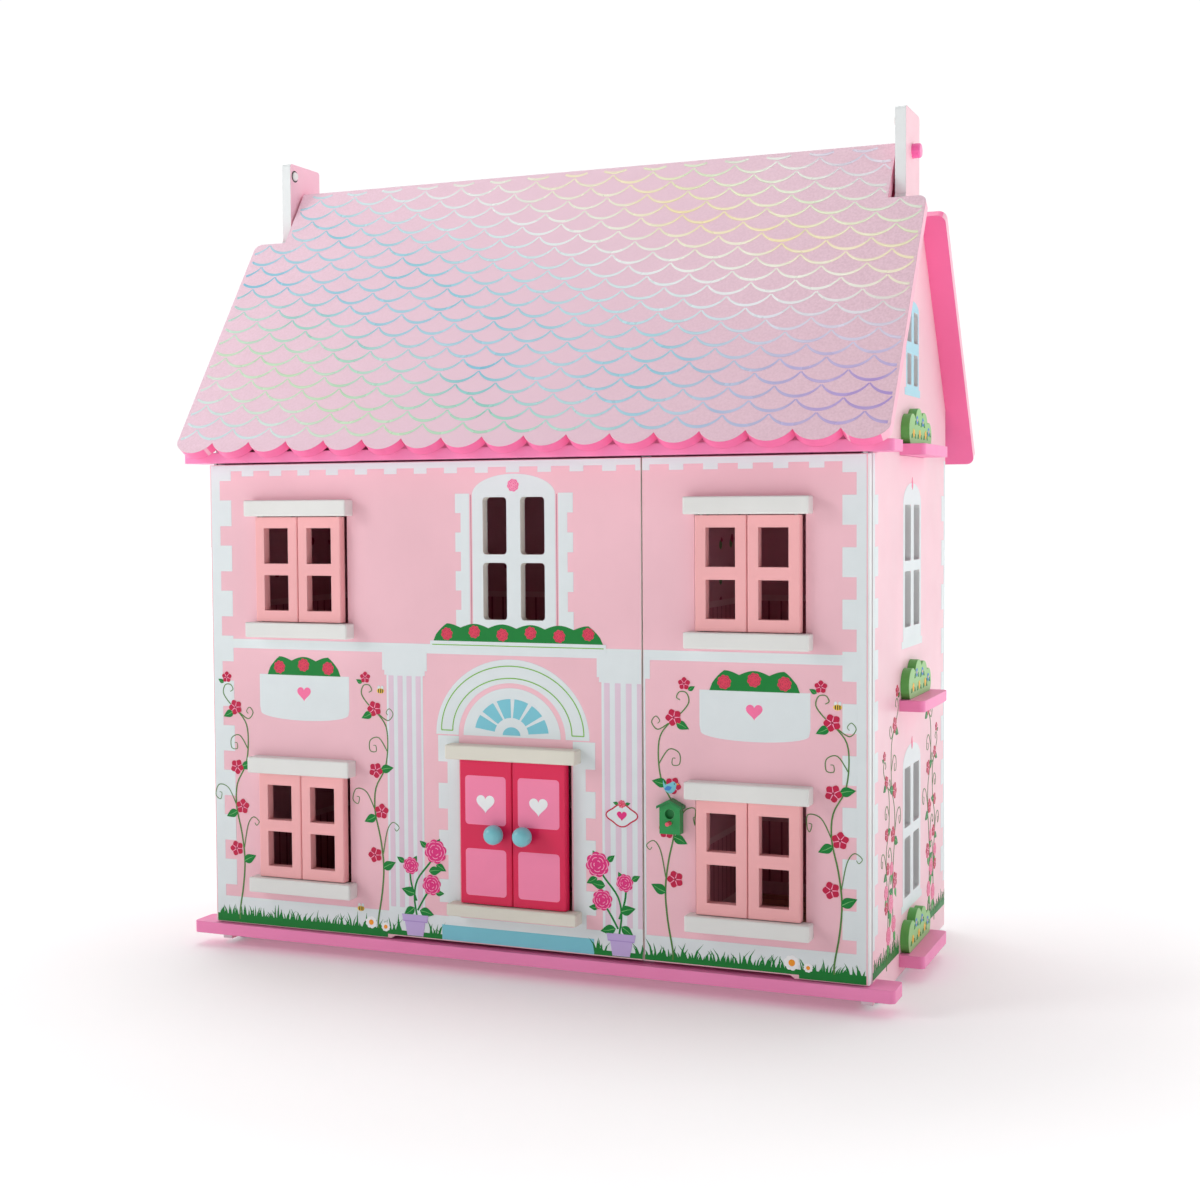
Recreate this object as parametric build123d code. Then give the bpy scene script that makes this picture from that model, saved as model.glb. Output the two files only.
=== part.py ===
from build123d import *
import os
from math import cos, hypot, radians, sin, tan

# A wooden dollhouse with three storeys. Millimetres, +Z up, +X to the right as seen from the front,
# the front faces -Y. The origin is on the floor, midway between the side walls and under the ridge.

# ---- Driving dimensions: the carcass
house_width = 590.0        # over the outer faces of the side walls
wall_depth = 277.0         # side wall, front edge to back edge
wall_thickness = 9.0
back_thickness = 9.0
partition_thickness = 9.0
base_thickness = 10.0
floor_thickness = 9.0
glide_height = 4.5         # nailed under the side walls
glide_diameter = 11.0
glide_setback = 28.0       # glide centre from a wall's front or back edge
wall_skirt = 7.0           # the side walls reach this far below the base board
ground_room = 199.0        # clear height of the ground floor
first_room = 198.0         # clear height of the first floor
knee_height = 36.0         # vertical wall above the attic floor, before the gable starts
slot_clearance = 0.2       # around a tab in its slot

# Tabs of the floor boards that pass through the side walls and carry the bushes
tab_reach = 20.5           # beyond a side wall's outer face
tab_length = 94.0
tab_corner = 4.0
base_lip = 4.0             # base board in front of the front panels
attic_lip = 9.0            # attic board in front of the front panels
ear_depth = 14.0           # how far the front ears run back past the side wall's front edge

# ---- Roof
roof_pitch = 56.0
roof_thickness = 9.0
roof_side_overhang = 20.0  # beyond a side wall's outer face
back_eave_overhang = 58.0  # along the slope, beyond the side wall's edge
front_eave_overhang = 50.0 # the same, to the tips of the scallops
scallop_count = 17
scallop_drop = 10.5
roof_corner = 7.0          # radius of the outer corners, at the shoulders and at the eaves
pole_diameter = 12.0
pole_end = 7.0             # the pole's ends stand out of the side walls
pole_clearance = 0.08      # radial, in the side walls
ridge_lip = 1.5            # the front roof panel reaches this far past the pole's axis
ridge_gap = 0.6            # between the turning front panel and the back panel
roof_rest_gap = 0.4        # between the front panel and the gables
tongue_width = 51.0        # chimney-like tongue at the top of each side wall
tongue_rise = 32.5         # above the point of the gable
tongue_corner = 3.0
notch_side_gap = 2.5       # roof panel to the inner face of a tongue
notch_slope_gap = 13.0     # along the slope, tongue corner to roof shoulder
catch_diameter = 8.0       # studs that the raised roof snaps past
catch_rise = 2.0
catch_forward = 18.0       # stud in front of the pole
catch_above = 21.5         # stud above the pole

# ---- Front panels
panel_thickness = 9.0
panel_setback = 2.0        # panel's back face to the side wall's front edge
panel_bottom_gap = 1.0
panel_top_gap = 1.5        # at least this far below the attic board
panel_eave_gap = 1.0       # and below the roof's lowest edge, so that the panels swing under it
panel_split = 112.0        # where the two panels meet
panel_split_gap = 1.2
panel_corner = 2.0
hinge_pin_diameter = 4.0
hinge_pin_embed = 12.0     # length inside the panel
hinge_pin_anchor = 7.0     # length inside the base or attic board
pin_clearance = 0.06       # radial, in every turning bore
bore_end_gap = 1.0         # beyond the end of a pin
recess_height = 2.5        # finger recess under the panels
recess_left = 226.0        # its reach to the left of the split
recess_right = 121.0
recess_slope = 5.0

# Magnet catches in the partitions' front edges
magnet_diameter = 6.0
magnet_length = 8.0
magnet_stand = 0.9
striker_thickness = 0.8
striker_width = 22.0
striker_height = 14.0

# ---- Windows and door in the front panels
window_x = 201.0           # centres, left and right of the middle
ground_sill_z = 54.3       # underside of the sills
first_sill_z = 276.7
sash_width = 42.0
sash_height = 89.9
leaf_thickness = 8.5       # sashes and door leaves
leaf_inset = 1.0           # a leaf's back face sits this far inside the panel
leaf_middle_gap = 0.6      # between two leaves
leaf_end_gap = 0.7         # above and below a leaf
leaf_side_gap = 2.5        # leaf to the side of the panel's opening
leaf_corner = 1.2
sash_stile = 9.0
sash_rail = 9.5
sash_bar = 10.0
block_depth = 13.0         # lintels and sills stand this proud of the panel
block_overhang = 8.2       # beyond the sashes
block_cover = 3.0          # lintel and sill reach past the opening's ends
lintel_height = 14.0
sill_height = 13.0
block_edge = 1.5
leaf_pin_diameter = 2.5
leaf_pin_embed = 7.0       # length inside the leaf
leaf_pin_anchor = 6.0      # length inside the lintel or sill

door_x = 0.0
door_sill_z = 49.5
door_sill_height = 10.3
door_lintel_height = 12.0
door_overhang = 11.0
door_leaf_width = 47.2
door_leaf_height = 119.0
knob_diameter = 16.0
knob_length = 16.0
knob_stem = 7.0
knob_spigot = 5.0          # glued into the leaf
knob_from_edge = 12.6      # knob centre to the leaf's free edge
knob_z = 120.5

# Open panes cut through a board: (pane width, upright bar, pane height, cross bar)
arched_pane = (21.6, 12.4, 46.9, 6.8)
arched_pane_z = 295.2
ground_pane = (22.6, 11.0, 49.5, 8.5)
ground_pane_z = 63.5
first_pane = (22.6, 11.0, 46.0, 8.5)
first_pane_z = 287.0
gable_pane = (15.6, 9.0, 25.5, 9.5)
gable_pane_z = 486.0
pane_corner = 3.0

# ---- Inside
doorway_width = 62.0
doorway_height = 130.0
doorway_y = -38.0
stair_width = 52.0
stair_start = -74.0
stair_run = 152.0
stair_steps = 10
stair_board = 5.0
stair_wall_gap = 2.0
tread_depth = 19.0
tread_thickness = 4.0
stringer_width = 24.0      # measured along the floor
stairwell_length = 116.0
stairwell_margin = 2.0

# ---- Trim
bush_thickness = 7.0
bush_length = 90.0
bush_height = 30.0
birdhouse_x = 137.3
birdhouse_z = 129.6        # underside
birdhouse_width = 17.2
birdhouse_wall = 21.0      # height at the eaves
birdhouse_peak = 4.5       # rise of its gable
birdhouse_depth = 8.0
birdhouse_roof = 2.2
birdhouse_overhang = 2.0
birdhouse_hole = 7.8
perch_diameter = 3.4
perch_length = 6.0
perch_spigot = 3.0

# ---- Places that follow from the dimensions
x_out = house_width / 2
x_in = x_out - wall_thickness
y_front = -wall_depth / 2
y_back = wall_depth / 2
y_back_in = y_back - back_thickness
panel_back = y_front - panel_setback
panel_front = panel_back - panel_thickness
panel_mid = (panel_back + panel_front) / 2

z_base_under = glide_height + wall_skirt
z_ground = z_base_under + base_thickness
z_first_under = z_ground + ground_room
z_first = z_first_under + floor_thickness
z_attic_under = z_first + first_room
z_attic = z_attic_under + floor_thickness
z_knee = z_attic + knee_height
z_ridge = z_knee + y_back * tan(radians(roof_pitch))
panel_bottom = z_ground + panel_bottom_gap

slope_cos = cos(radians(roof_pitch))
slope_sin = sin(radians(roof_pitch))
slope_tan = slope_sin / slope_cos
roof_half_width = x_out + roof_side_overhang
back_roof_length = y_back / slope_cos + back_eave_overhang
front_roof_length = y_back / slope_cos + front_eave_overhang
notch_depth = tongue_width / 2 / slope_cos + notch_slope_gap
z_eave = z_ridge - front_roof_length * slope_sin
panel_top = min(z_attic_under - panel_top_gap, z_eave - panel_eave_gap)
pole_radius = pole_diameter / 2
swing_radius = hypot(roof_thickness, ridge_lip) + ridge_gap

pivot_x = x_out - panel_thickness / 2
leaf_back = panel_front + leaf_inset
leaf_front = leaf_back - leaf_thickness
leaf_pivot_y = (leaf_back + leaf_front) / 2
leaf_pivot_in = leaf_thickness / 2


def block(x0, x1, y0, y1, z0, z1):
    """A box between two corners."""
    return Pos((x0 + x1) / 2, (y0 + y1) / 2, (z0 + z1) / 2) * Box(x1 - x0, y1 - y0, z1 - z0)


def upright(x, y, z0, z1, radius):
    """A vertical cylinder from z0 to z1."""
    return Pos(x, y, (z0 + z1) / 2) * Cylinder(radius, z1 - z0)


def along_x(x0, x1, y, z, radius):
    """A cylinder along X."""
    return Pos((x0 + x1) / 2, y, z) * Rot(0, 90, 0) * Cylinder(radius, x1 - x0)


def along_y(x, y0, y1, z, radius):
    """A cylinder along Y."""
    return Pos(x, (y0 + y1) / 2, z) * Rot(90, 0, 0) * Cylinder(radius, y1 - y0)


def slab_x(x0, x1, outline):
    """A board between two X values with its outline given in the Y-Z plane."""
    face = make_face(Polyline(*outline, close=True))
    return Pos(x0, 0, 0) * extrude(Plane.YZ * face, x1 - x0)


def slab_y(y0, y1, outline):
    """A board between two Y values with its outline given in the X-Z plane."""
    face = make_face(Polyline(*outline, close=True))
    return Pos(0, y1, 0) * extrude(Plane.XZ * face, y1 - y0)


def rounded(solid, axis, radius, keep=lambda edge: True):
    """Round the chosen edges that run along an axis."""
    return fillet([e for e in solid.edges().filter_by(axis) if keep(e)], radius)


def pane_boxes(sizes, z0):
    """Centres and sizes of four panes around a cross: (offset, z, width, height)."""
    width, bar, height, cross = sizes
    for side in (-1, 1):
        for row in (0, 1):
            yield side * (bar + width) / 2, z0 + height / 2 + row * (height + cross), width, height


# ---- Floor boards

def floor_board(z0, z1, front, back, eared):
    """A board between the side walls with tabs, and ears in front when it has a front lip."""
    ends = x_out + tab_reach
    board = block(-x_in, x_in, front, back, z0, z1)
    for side in (-1, 1):
        tab = block(x_in, ends, -tab_length / 2, tab_length / 2, z0, z1)
        tab = rounded(tab, Axis.Z, tab_corner, lambda e: e.center().X > x_out)
        pieces = [tab]
        if eared:
            ear = block(x_in, ends, front, y_front + ear_depth, z0, z1)
            pieces.append(rounded(ear, Axis.Z, tab_corner, lambda e: e.center().X > x_out))
        for piece in pieces:
            board += piece if side > 0 else mirror(piece, Plane.YZ)
    return board


def stairwell(z0, z1):
    """The opening at the back of a floor where a staircase comes up."""
    x1 = stair_start + stair_run
    y0 = y_back_in - stair_wall_gap - stair_width - stairwell_margin
    return block(x1 - stairwell_length, x1, y0, y_back_in + 1, z0 - 1, z1 + 1)


def hinge_pin_spans():
    """Where each panel pin starts and ends: (low, high) at the bottom and at the top."""
    low = (z_ground - hinge_pin_anchor, panel_bottom + hinge_pin_embed)
    high = (panel_top - hinge_pin_embed, z_attic_under + hinge_pin_anchor)
    return low, high


def hinge_pins():
    """Four steel pins that the two front panels turn on."""
    spans = hinge_pin_spans()
    radius = hinge_pin_diameter / 2
    return [upright(side * pivot_x, panel_mid, *span, radius) for side in (-1, 1) for span in spans]


def base_board():
    board = floor_board(z_base_under, z_ground, panel_front - base_lip, y_back, True)
    for pin in hinge_pins():
        board -= pin
    return board


def first_floor_board():
    board = floor_board(z_first_under, z_first, y_front, y_back_in, False)
    return board - stairwell(z_first_under, z_first)


def attic_floor_board():
    board = floor_board(z_attic_under, z_attic, panel_front - attic_lip, y_back_in, True)
    for pin in hinge_pins():
        board -= pin
    return board - stairwell(z_attic_under, z_attic)


# ---- Walls

def tab_slot(z0, z1):
    """The slot in a side wall for a floor board's tab."""
    gap = slot_clearance
    half = tab_length / 2 + gap
    return block(x_in - 1, x_out + 1, -half, half, z0 - gap, z1 + gap)


def ear_slot(z0, z1):
    """The notch in a side wall's front edge for a board's ear."""
    gap = slot_clearance
    return block(x_in - 1, x_out + 1, y_front - 1, y_front + ear_depth + gap, z0 - gap, z1 + gap)


def side_wall(is_open):
    """The right side wall: gable, tongue, slots, the bore for the ridge pole and perhaps twelve open panes."""
    half = tongue_width / 2
    shoulder = z_ridge - half * slope_tan
    top = z_ridge + tongue_rise
    lower = roof_rest_gap / slope_cos
    outline = [(y_front, glide_height), (y_back, glide_height), (y_back, z_knee), (half, shoulder),
               (half, top), (-half, top), (-half, shoulder - lower), (y_front, z_knee - lower)]
    wall = slab_x(x_in, x_out, outline)
    wall = rounded(wall, Axis.X, tongue_corner, lambda e: e.center().Z > top - 1)
    boards = ((z_base_under, z_ground), (z_first_under, z_first), (z_attic_under, z_attic))
    for z0, z1 in boards:
        wall -= tab_slot(z0, z1)
    for z0, z1 in (boards[0], boards[2]):
        wall -= ear_slot(z0, z1)
    windows = ((ground_pane, ground_pane_z), (first_pane, first_pane_z), (gable_pane, gable_pane_z))
    for sizes, z0 in windows if is_open else ():
        for y, z, width, height in pane_boxes(sizes, z0):
            pane = block(x_in - 1, x_out + 1, y - width / 2, y + width / 2, z - height / 2, z + height / 2)
            wall -= rounded(pane, Axis.X, pane_corner)
    return wall - along_x(x_in - 1, x_out + 1, 0, z_ridge, pole_radius + pole_clearance)


def back_wall():
    return block(-x_in, x_in, y_back_in, y_back, z_ground, z_attic)


def partition(z0, z1):
    """An inner wall behind the line where the front panels meet, with an arched doorway."""
    x0 = panel_split - partition_thickness / 2
    x1 = panel_split + partition_thickness / 2
    wall = block(x0, x1, y_front, y_back_in, z0, z1)
    half = doorway_width / 2
    door = block(x0 - 1, x1 + 1, doorway_y - half, doorway_y + half, z0 - 1, z0 + doorway_height - half)
    door += along_x(x0 - 1, x1 + 1, doorway_y, z0 + doorway_height - half, half)
    wall -= door
    for magnet in magnets():
        wall -= magnet
    return wall


def magnet_heights():
    """One magnet low on the ground floor and one high on the first floor."""
    return z_ground + ground_room / 2, z_first + first_room * 3 / 4


def magnets():
    """Two disc magnets standing a little proud of the partitions' front edges."""
    front = y_front - magnet_stand
    return [along_y(panel_split, front, front + magnet_length, z, magnet_diameter / 2)
            for z in magnet_heights()]


def striker(side):
    """Two thin steel plates on the back of one front panel, in front of the magnets."""
    x0 = panel_split + side * panel_split_gap / 2
    x1 = x0 + side * striker_width
    half = striker_height / 2
    return [block(min(x0, x1), max(x0, x1), panel_back, panel_back + striker_thickness, z - half, z + half)
            for z in magnet_heights()]


def glides():
    """Four round plastic glides under the side walls."""
    x = x_out - wall_thickness / 2
    places = [(sx * x, sy * (y_back - glide_setback)) for sx in (-1, 1) for sy in (-1, 1)]
    return [upright(gx, gy, 0, glide_height, glide_diameter / 2) for gx, gy in places]


# ---- Stairs

def stair_pieces(z0, z1):
    """Stringers and treads of a flight from floor height z0 up to floor height z1."""
    x0 = stair_start
    x1 = stair_start + stair_run
    y1 = y_back_in - stair_wall_gap
    y0 = y1 - stair_width
    rise = (z1 - z0) / stair_steps
    slope = (z1 - z0) / stair_run
    outline = [(x0, z0), (x0 + stringer_width, z0), (x1, z1 - stringer_width * slope), (x1, z1)]
    stringers = [slab_y(y0, y0 + stair_board, outline), slab_y(y1 - stair_board, y1, outline)]
    treads = []
    for step in range(1, stair_steps):
        z = z0 + step * rise - tread_thickness / 2
        x = x0 + (z - z0) / slope
        treads.append(block(x + 1, x + tread_depth, y0 + stair_board, y1 - stair_board,
                            z - tread_thickness / 2, z + tread_thickness / 2))
    return stringers, treads


# ---- Roof

def slope_plane(side):
    """The gable's slope: X across, Y down the slope, Z outwards. side is -1 in front and 1 behind."""
    return Plane(origin=(0, 0, z_ridge), x_dir=(side, 0, 0), z_dir=(0, side * slope_sin, slope_cos))


def roof_outline(top):
    """The stretch above the eave that both roof panels share: narrow between the tongues, then wide."""
    narrow = x_in - notch_side_gap
    wide = roof_half_width
    return [(-wide, notch_depth), (-narrow, notch_depth), (-narrow, top), (narrow, top),
            (narrow, notch_depth), (wide, notch_depth)]


def roof_board(side, face):
    """Thicken a roof outline and lay it on one slope, with its outer corners rounded."""
    board = extrude(face, roof_thickness)
    board = rounded(board, Axis.Z, roof_corner, lambda e: abs(e.center().X) > roof_half_width - 1)
    return slope_plane(side) * board


def front_roof_panel():
    """Scalloped along the eave and grooved underneath for the ridge pole."""
    pitch = 2 * roof_half_width / scallop_count
    cusp = front_roof_length - scallop_drop
    lines = [Polyline((-roof_half_width, cusp), *roof_outline(-ridge_lip), (roof_half_width, cusp))]
    for index in range(scallop_count):
        x = -roof_half_width + index * pitch
        lines.append(ThreePointArc((x, cusp), (x + pitch / 2, front_roof_length), (x + pitch, cusp)))
    panel = roof_board(-1, make_face(Curve() + lines))
    return panel - along_x(-x_out, x_out, 0, z_ridge, pole_radius)


def back_roof_panel():
    """Straight along the eave, hollowed along the ridge so that the front panel can turn."""
    lines = [(-roof_half_width, back_roof_length), *roof_outline(0), (roof_half_width, back_roof_length)]
    panel = roof_board(1, make_face(Polyline(*lines, close=True)))
    return panel - along_x(-x_out, x_out, 0, z_ridge, swing_radius)


def ridge_pole():
    reach = x_out + pole_end
    pole = along_x(-reach, reach, 0, z_ridge, pole_radius)
    return chamfer(pole.edges().filter_by(GeomType.CIRCLE), 1.0)


def roof_catches():
    """Two studs with bevelled rims on the inner faces of the tongues."""
    stud = along_x(x_in - catch_rise, x_in, -catch_forward, z_ridge + catch_above, catch_diameter / 2)
    rim = stud.edges().filter_by(GeomType.CIRCLE).filter_by(lambda e: e.center().X < x_in - catch_rise / 2)
    stud = chamfer(rim, catch_rise / 2)
    return [stud, mirror(stud, Plane.YZ)]


# ---- Leaves: window sashes and door leaves

def leaf_pivot_x(middle, side, width):
    """X of the pin of the leaf on one side of a window or door."""
    return middle + side * (leaf_middle_gap / 2 + width - leaf_pivot_in)


def leaf_pins(middle, sill_top, width, height):
    """Four pins, fixed in the lintel and sill, that two leaves turn on."""
    z0 = sill_top + leaf_end_gap
    z1 = z0 + height
    low = (sill_top - leaf_pin_anchor, z0 + leaf_pin_embed)
    high = (z1 - leaf_pin_embed, z1 + leaf_end_gap + leaf_pin_anchor)
    return [upright(leaf_pivot_x(middle, side, width), leaf_pivot_y, *span, leaf_pin_diameter / 2)
            for side in (-1, 1) for span in (low, high)]


def leaf(middle, side, sill_top, width, height):
    """A leaf blank with soft upright edges and a bore for a pin at each end."""
    inner = middle + side * leaf_middle_gap / 2
    outer = inner + side * width
    z0 = sill_top + leaf_end_gap
    z1 = z0 + height
    blank = block(min(inner, outer), max(inner, outer), leaf_front, leaf_back, z0, z1)
    blank = rounded(blank, Axis.Z, leaf_corner)
    x = leaf_pivot_x(middle, side, width)
    depth = leaf_pin_embed + bore_end_gap
    for span in ((z0 - 1, z0 + depth), (z1 - depth, z1 + 1)):
        blank -= upright(x, leaf_pivot_y, *span, leaf_pin_diameter / 2 + pin_clearance)
    return blank


def sash(middle, side, sill_z):
    """A window sash with two open panes."""
    sill_top = sill_z + sill_height
    frame = leaf(middle, side, sill_top, sash_width, sash_height)
    centre = middle + side * (leaf_middle_gap + sash_width) / 2
    half = sash_width / 2 - sash_stile
    pane = (sash_height - 2 * sash_rail - sash_bar) / 2
    for row in (0, 1):
        z0 = sill_top + leaf_end_gap + sash_rail + row * (pane + sash_bar)
        frame -= block(centre - half, centre + half, leaf_front - 1, leaf_back + 1, z0, z0 + pane)
    return frame


def door_leaf(side):
    """A door leaf, bored for the knob's spigot."""
    panel = leaf(door_x, side, door_sill_z + door_sill_height, door_leaf_width, door_leaf_height)
    return panel - along_y(knob_x(side), leaf_front - 1, leaf_front + knob_spigot, knob_z, knob_stem / 2)


def knob_x(side):
    return door_x + side * (leaf_middle_gap / 2 + knob_from_edge)


def door_knob(side):
    """A turned knob: spigot, neck and domed head."""
    x = knob_x(side)
    neck = leaf_front - knob_length * 0.35
    head = along_y(x, leaf_front - knob_length, neck, knob_z, knob_diameter / 2)
    head = fillet(head.edges().filter_by(lambda e: e.center().Y < neck - 1), knob_diameter * 0.42)
    head = fillet(head.edges().filter_by(lambda e: e.center().Y > neck - 0.1), 1.5)
    return head + along_y(x, neck - 1, leaf_front + knob_spigot, knob_z, knob_stem / 2)


def window_sizes(sill_z):
    """Sill top and lintel underside of a front window."""
    sill_top = sill_z + sill_height
    return sill_top, sill_top + sash_height + 2 * leaf_end_gap


def door_sizes():
    """Sill top and lintel underside of the front door."""
    sill_top = door_sill_z + door_sill_height
    return sill_top, sill_top + door_leaf_height + 2 * leaf_end_gap


def trim_block(middle, half, z0, z1, pins):
    """A lintel or sill on the panel's face, bored for the fixed pins."""
    bar = block(middle - half, middle + half, panel_front - block_depth, panel_front, z0, z1)
    bar = fillet(bar.edges().filter_by(lambda e: e.center().Y < panel_front - 0.5), block_edge)
    for pin in pins:
        bar -= pin
    return bar


def window_lintel(middle, sill_z):
    sill_top, lintel_z = window_sizes(sill_z)
    half = leaf_middle_gap / 2 + sash_width + block_overhang
    pins = leaf_pins(middle, sill_top, sash_width, sash_height)
    return trim_block(middle, half, lintel_z, lintel_z + lintel_height, pins)


def window_sill(middle, sill_z):
    sill_top, lintel_z = window_sizes(sill_z)
    half = leaf_middle_gap / 2 + sash_width + block_overhang
    pins = leaf_pins(middle, sill_top, sash_width, sash_height)
    return trim_block(middle, half, sill_z, sill_top, pins)


def door_trim(is_lintel):
    sill_top, lintel_z = door_sizes()
    half = leaf_middle_gap / 2 + door_leaf_width + door_overhang
    pins = leaf_pins(door_x, sill_top, door_leaf_width, door_leaf_height)
    if is_lintel:
        return trim_block(door_x, half, lintel_z, lintel_z + door_lintel_height, pins)
    return trim_block(door_x, half, door_sill_z, sill_top, pins)


# ---- Front panels

def leaf_opening(middle, width, sill_top, lintel_z):
    """The hole in a panel behind a pair of leaves; lintel and sill cover its ends."""
    half = leaf_middle_gap / 2 + width + leaf_side_gap
    return block(middle - half, middle + half, panel_front - 1, panel_back + 1,
                 sill_top - block_cover, lintel_z + block_cover)


def finger_recess():
    """A shallow notch under both panels for the fingertips that open them."""
    x0 = panel_split - recess_left
    x1 = panel_split + recess_right
    z0 = panel_bottom - 1
    z1 = panel_bottom + recess_height
    return slab_y(panel_front - 1, panel_back + 1,
                  [(x0 - recess_slope, z0), (x1 + recess_slope, z0), (x1, z1), (x0, z1)])


def front_panel(side):
    """A panel that covers the side wall's front edge and turns on two pins near its outer edge."""
    inner = panel_split + side * panel_split_gap / 2
    outer = side * x_out
    panel = block(min(inner, outer), max(inner, outer), panel_front, panel_back, panel_bottom, panel_top)
    panel = rounded(panel, Axis.Z, panel_corner, lambda e: abs(e.center().X - outer) < 1)
    for z0 in (ground_sill_z, first_sill_z):
        panel -= leaf_opening(side * window_x, sash_width, *window_sizes(z0))
    (low0, low1), (high0, high1) = hinge_pin_spans()
    radius = hinge_pin_diameter / 2 + pin_clearance
    panel -= upright(side * pivot_x, panel_mid, panel_bottom - 1, low1 + bore_end_gap, radius)
    panel -= upright(side * pivot_x, panel_mid, high0 - bore_end_gap, panel_top + 1, radius)
    return panel - finger_recess()


def front_panel_left():
    """The wide panel, with the door and the arched window's four open panes."""
    panel = front_panel(-1) - leaf_opening(door_x, door_leaf_width, *door_sizes())
    for x, z, width, height in pane_boxes(arched_pane, arched_pane_z):
        pane = block(x - width / 2, x + width / 2, panel_front - 1, panel_back + 1, z - height / 2, z + height / 2)
        panel -= rounded(pane, Axis.Y, pane_corner)
    return panel


# ---- Trim

def bush(side, z):
    """A cloud-shaped cut-out standing on a tab against a side wall."""
    lobes = [(-0.33, 0.36, 0.155), (-0.07, 0.53, 0.157), (0.16, 0.46, 0.15), (0.36, 0.30, 0.12)]
    face = Pos(0, bush_height * 0.22) * Rectangle(bush_length * 0.86, bush_height * 0.44)
    for across, up, size in lobes:
        face += Pos(across * bush_length, up * bush_height) * Circle(size * bush_length)
    face &= Pos(0, bush_height / 2) * Rectangle(2 * bush_length, bush_height)
    slab = Pos(x_out, 0, z) * extrude(Plane.YZ * face, bush_thickness)
    return slab if side > 0 else mirror(slab, Plane.YZ)


def birdhouse_pieces():
    """A small applied birdhouse: body with a blind hole, two roof strips and a perch."""
    half = birdhouse_width / 2
    eave = birdhouse_z + birdhouse_wall
    peak = eave + birdhouse_peak
    front = panel_front - birdhouse_depth
    x = birdhouse_x
    body = slab_y(front, panel_front, [(x - half, birdhouse_z), (x + half, birdhouse_z),
                                       (x + half, eave), (x, peak), (x - half, eave)])
    body -= along_y(x, front - 1, front + birdhouse_depth / 2, eave - birdhouse_hole * 0.65, birdhouse_hole / 2)
    perch_z = birdhouse_z + birdhouse_wall * 0.42
    perch = along_y(x, front - perch_length, front + perch_spigot, perch_z, perch_diameter / 2)
    body -= perch
    reach = half + birdhouse_overhang
    drop = birdhouse_peak / half * reach
    strips = [slab_y(front - birdhouse_overhang, panel_front,
                     [(x, peak), (x, peak + birdhouse_roof), (x + sx * reach, peak - drop + birdhouse_roof),
                      (x + sx * reach, peak - drop)]) for sx in (-1, 1)]
    return body, strips, perch


# ---- Everything by node name

def build_nodes():
    nodes = {
        "base_board": base_board(),
        "first_floor_board": first_floor_board(),
        "attic_floor_board": attic_floor_board(),
        "side_wall_right": side_wall(is_open=True),
        # The left wall's windows are only printed.
        "side_wall_left": mirror(side_wall(is_open=False), Plane.YZ),
        "back_wall": back_wall(),
        "ground_partition": partition(z_ground, z_first_under),
        "first_partition": partition(z_first, z_attic_under),
        "catch_magnets": magnets(),
        "panel_hinge_pins": hinge_pins(),
        "glide_feet": glides(),
        "roof_catch_studs": roof_catches(),
        "back_roof_panel": back_roof_panel(),
        "front_roof_panel": front_roof_panel(),
        "ridge_pole": ridge_pole(),
        "front_panel_left": front_panel_left(),
        "front_panel_right": front_panel(1),
        "striker_plates_left": striker(-1),
        "striker_plates_right": striker(1),
        "door_lintel": door_trim(True),
        "door_sill": door_trim(False),
    }
    for flight, z0, z1 in (("lower", z_ground, z_first), ("upper", z_first, z_attic)):
        stringers, treads = stair_pieces(z0, z1)
        nodes[f"{flight}_stair_stringers"] = stringers
        nodes[f"{flight}_stair_treads"] = treads
    for hand, side in (("left", -1), ("right", 1)):
        middle = side * window_x
        pins = []
        for storey, sill_z in (("ground", ground_sill_z), ("first", first_sill_z)):
            place = f"{storey}_{hand}"
            nodes[f"{place}_lintel"] = window_lintel(middle, sill_z)
            nodes[f"{place}_sill"] = window_sill(middle, sill_z)
            nodes[f"{place}_sash_left"] = sash(middle, -1, sill_z)
            nodes[f"{place}_sash_right"] = sash(middle, 1, sill_z)
            pins += leaf_pins(middle, window_sizes(sill_z)[0], sash_width, sash_height)
        if side < 0:
            pins += leaf_pins(door_x, door_sizes()[0], door_leaf_width, door_leaf_height)
        nodes[f"leaf_pins_{hand}"] = pins
        nodes[f"door_leaf_{hand}"] = door_leaf(side)
        nodes[f"door_knob_{hand}"] = door_knob(side)
        for storey, z in (("ground", z_ground), ("first", z_first), ("attic", z_attic)):
            nodes[f"{storey}_bush_{hand}"] = bush(side, z)
    body, strips, perch = birdhouse_pieces()
    nodes["birdhouse_body"] = body
    nodes["birdhouse_roof"] = strips
    nodes["birdhouse_perch"] = perch
    return nodes


def main():
    os.makedirs("parts", exist_ok=True)
    for name, shape in build_nodes().items():
        solids = shape if isinstance(shape, list) else [shape]
        solids = [solid for item in solids for solid in item.solids()]
        export_step(solids[0] if len(solids) == 1 else Compound(children=solids), f"parts/{name}.step")


main()
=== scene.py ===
"""A wooden dollhouse: paint, print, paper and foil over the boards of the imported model."""
import random
from math import cos, degrees, hypot, pi, radians, sin

import bpy
from mathutils import Matrix, Vector


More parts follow.
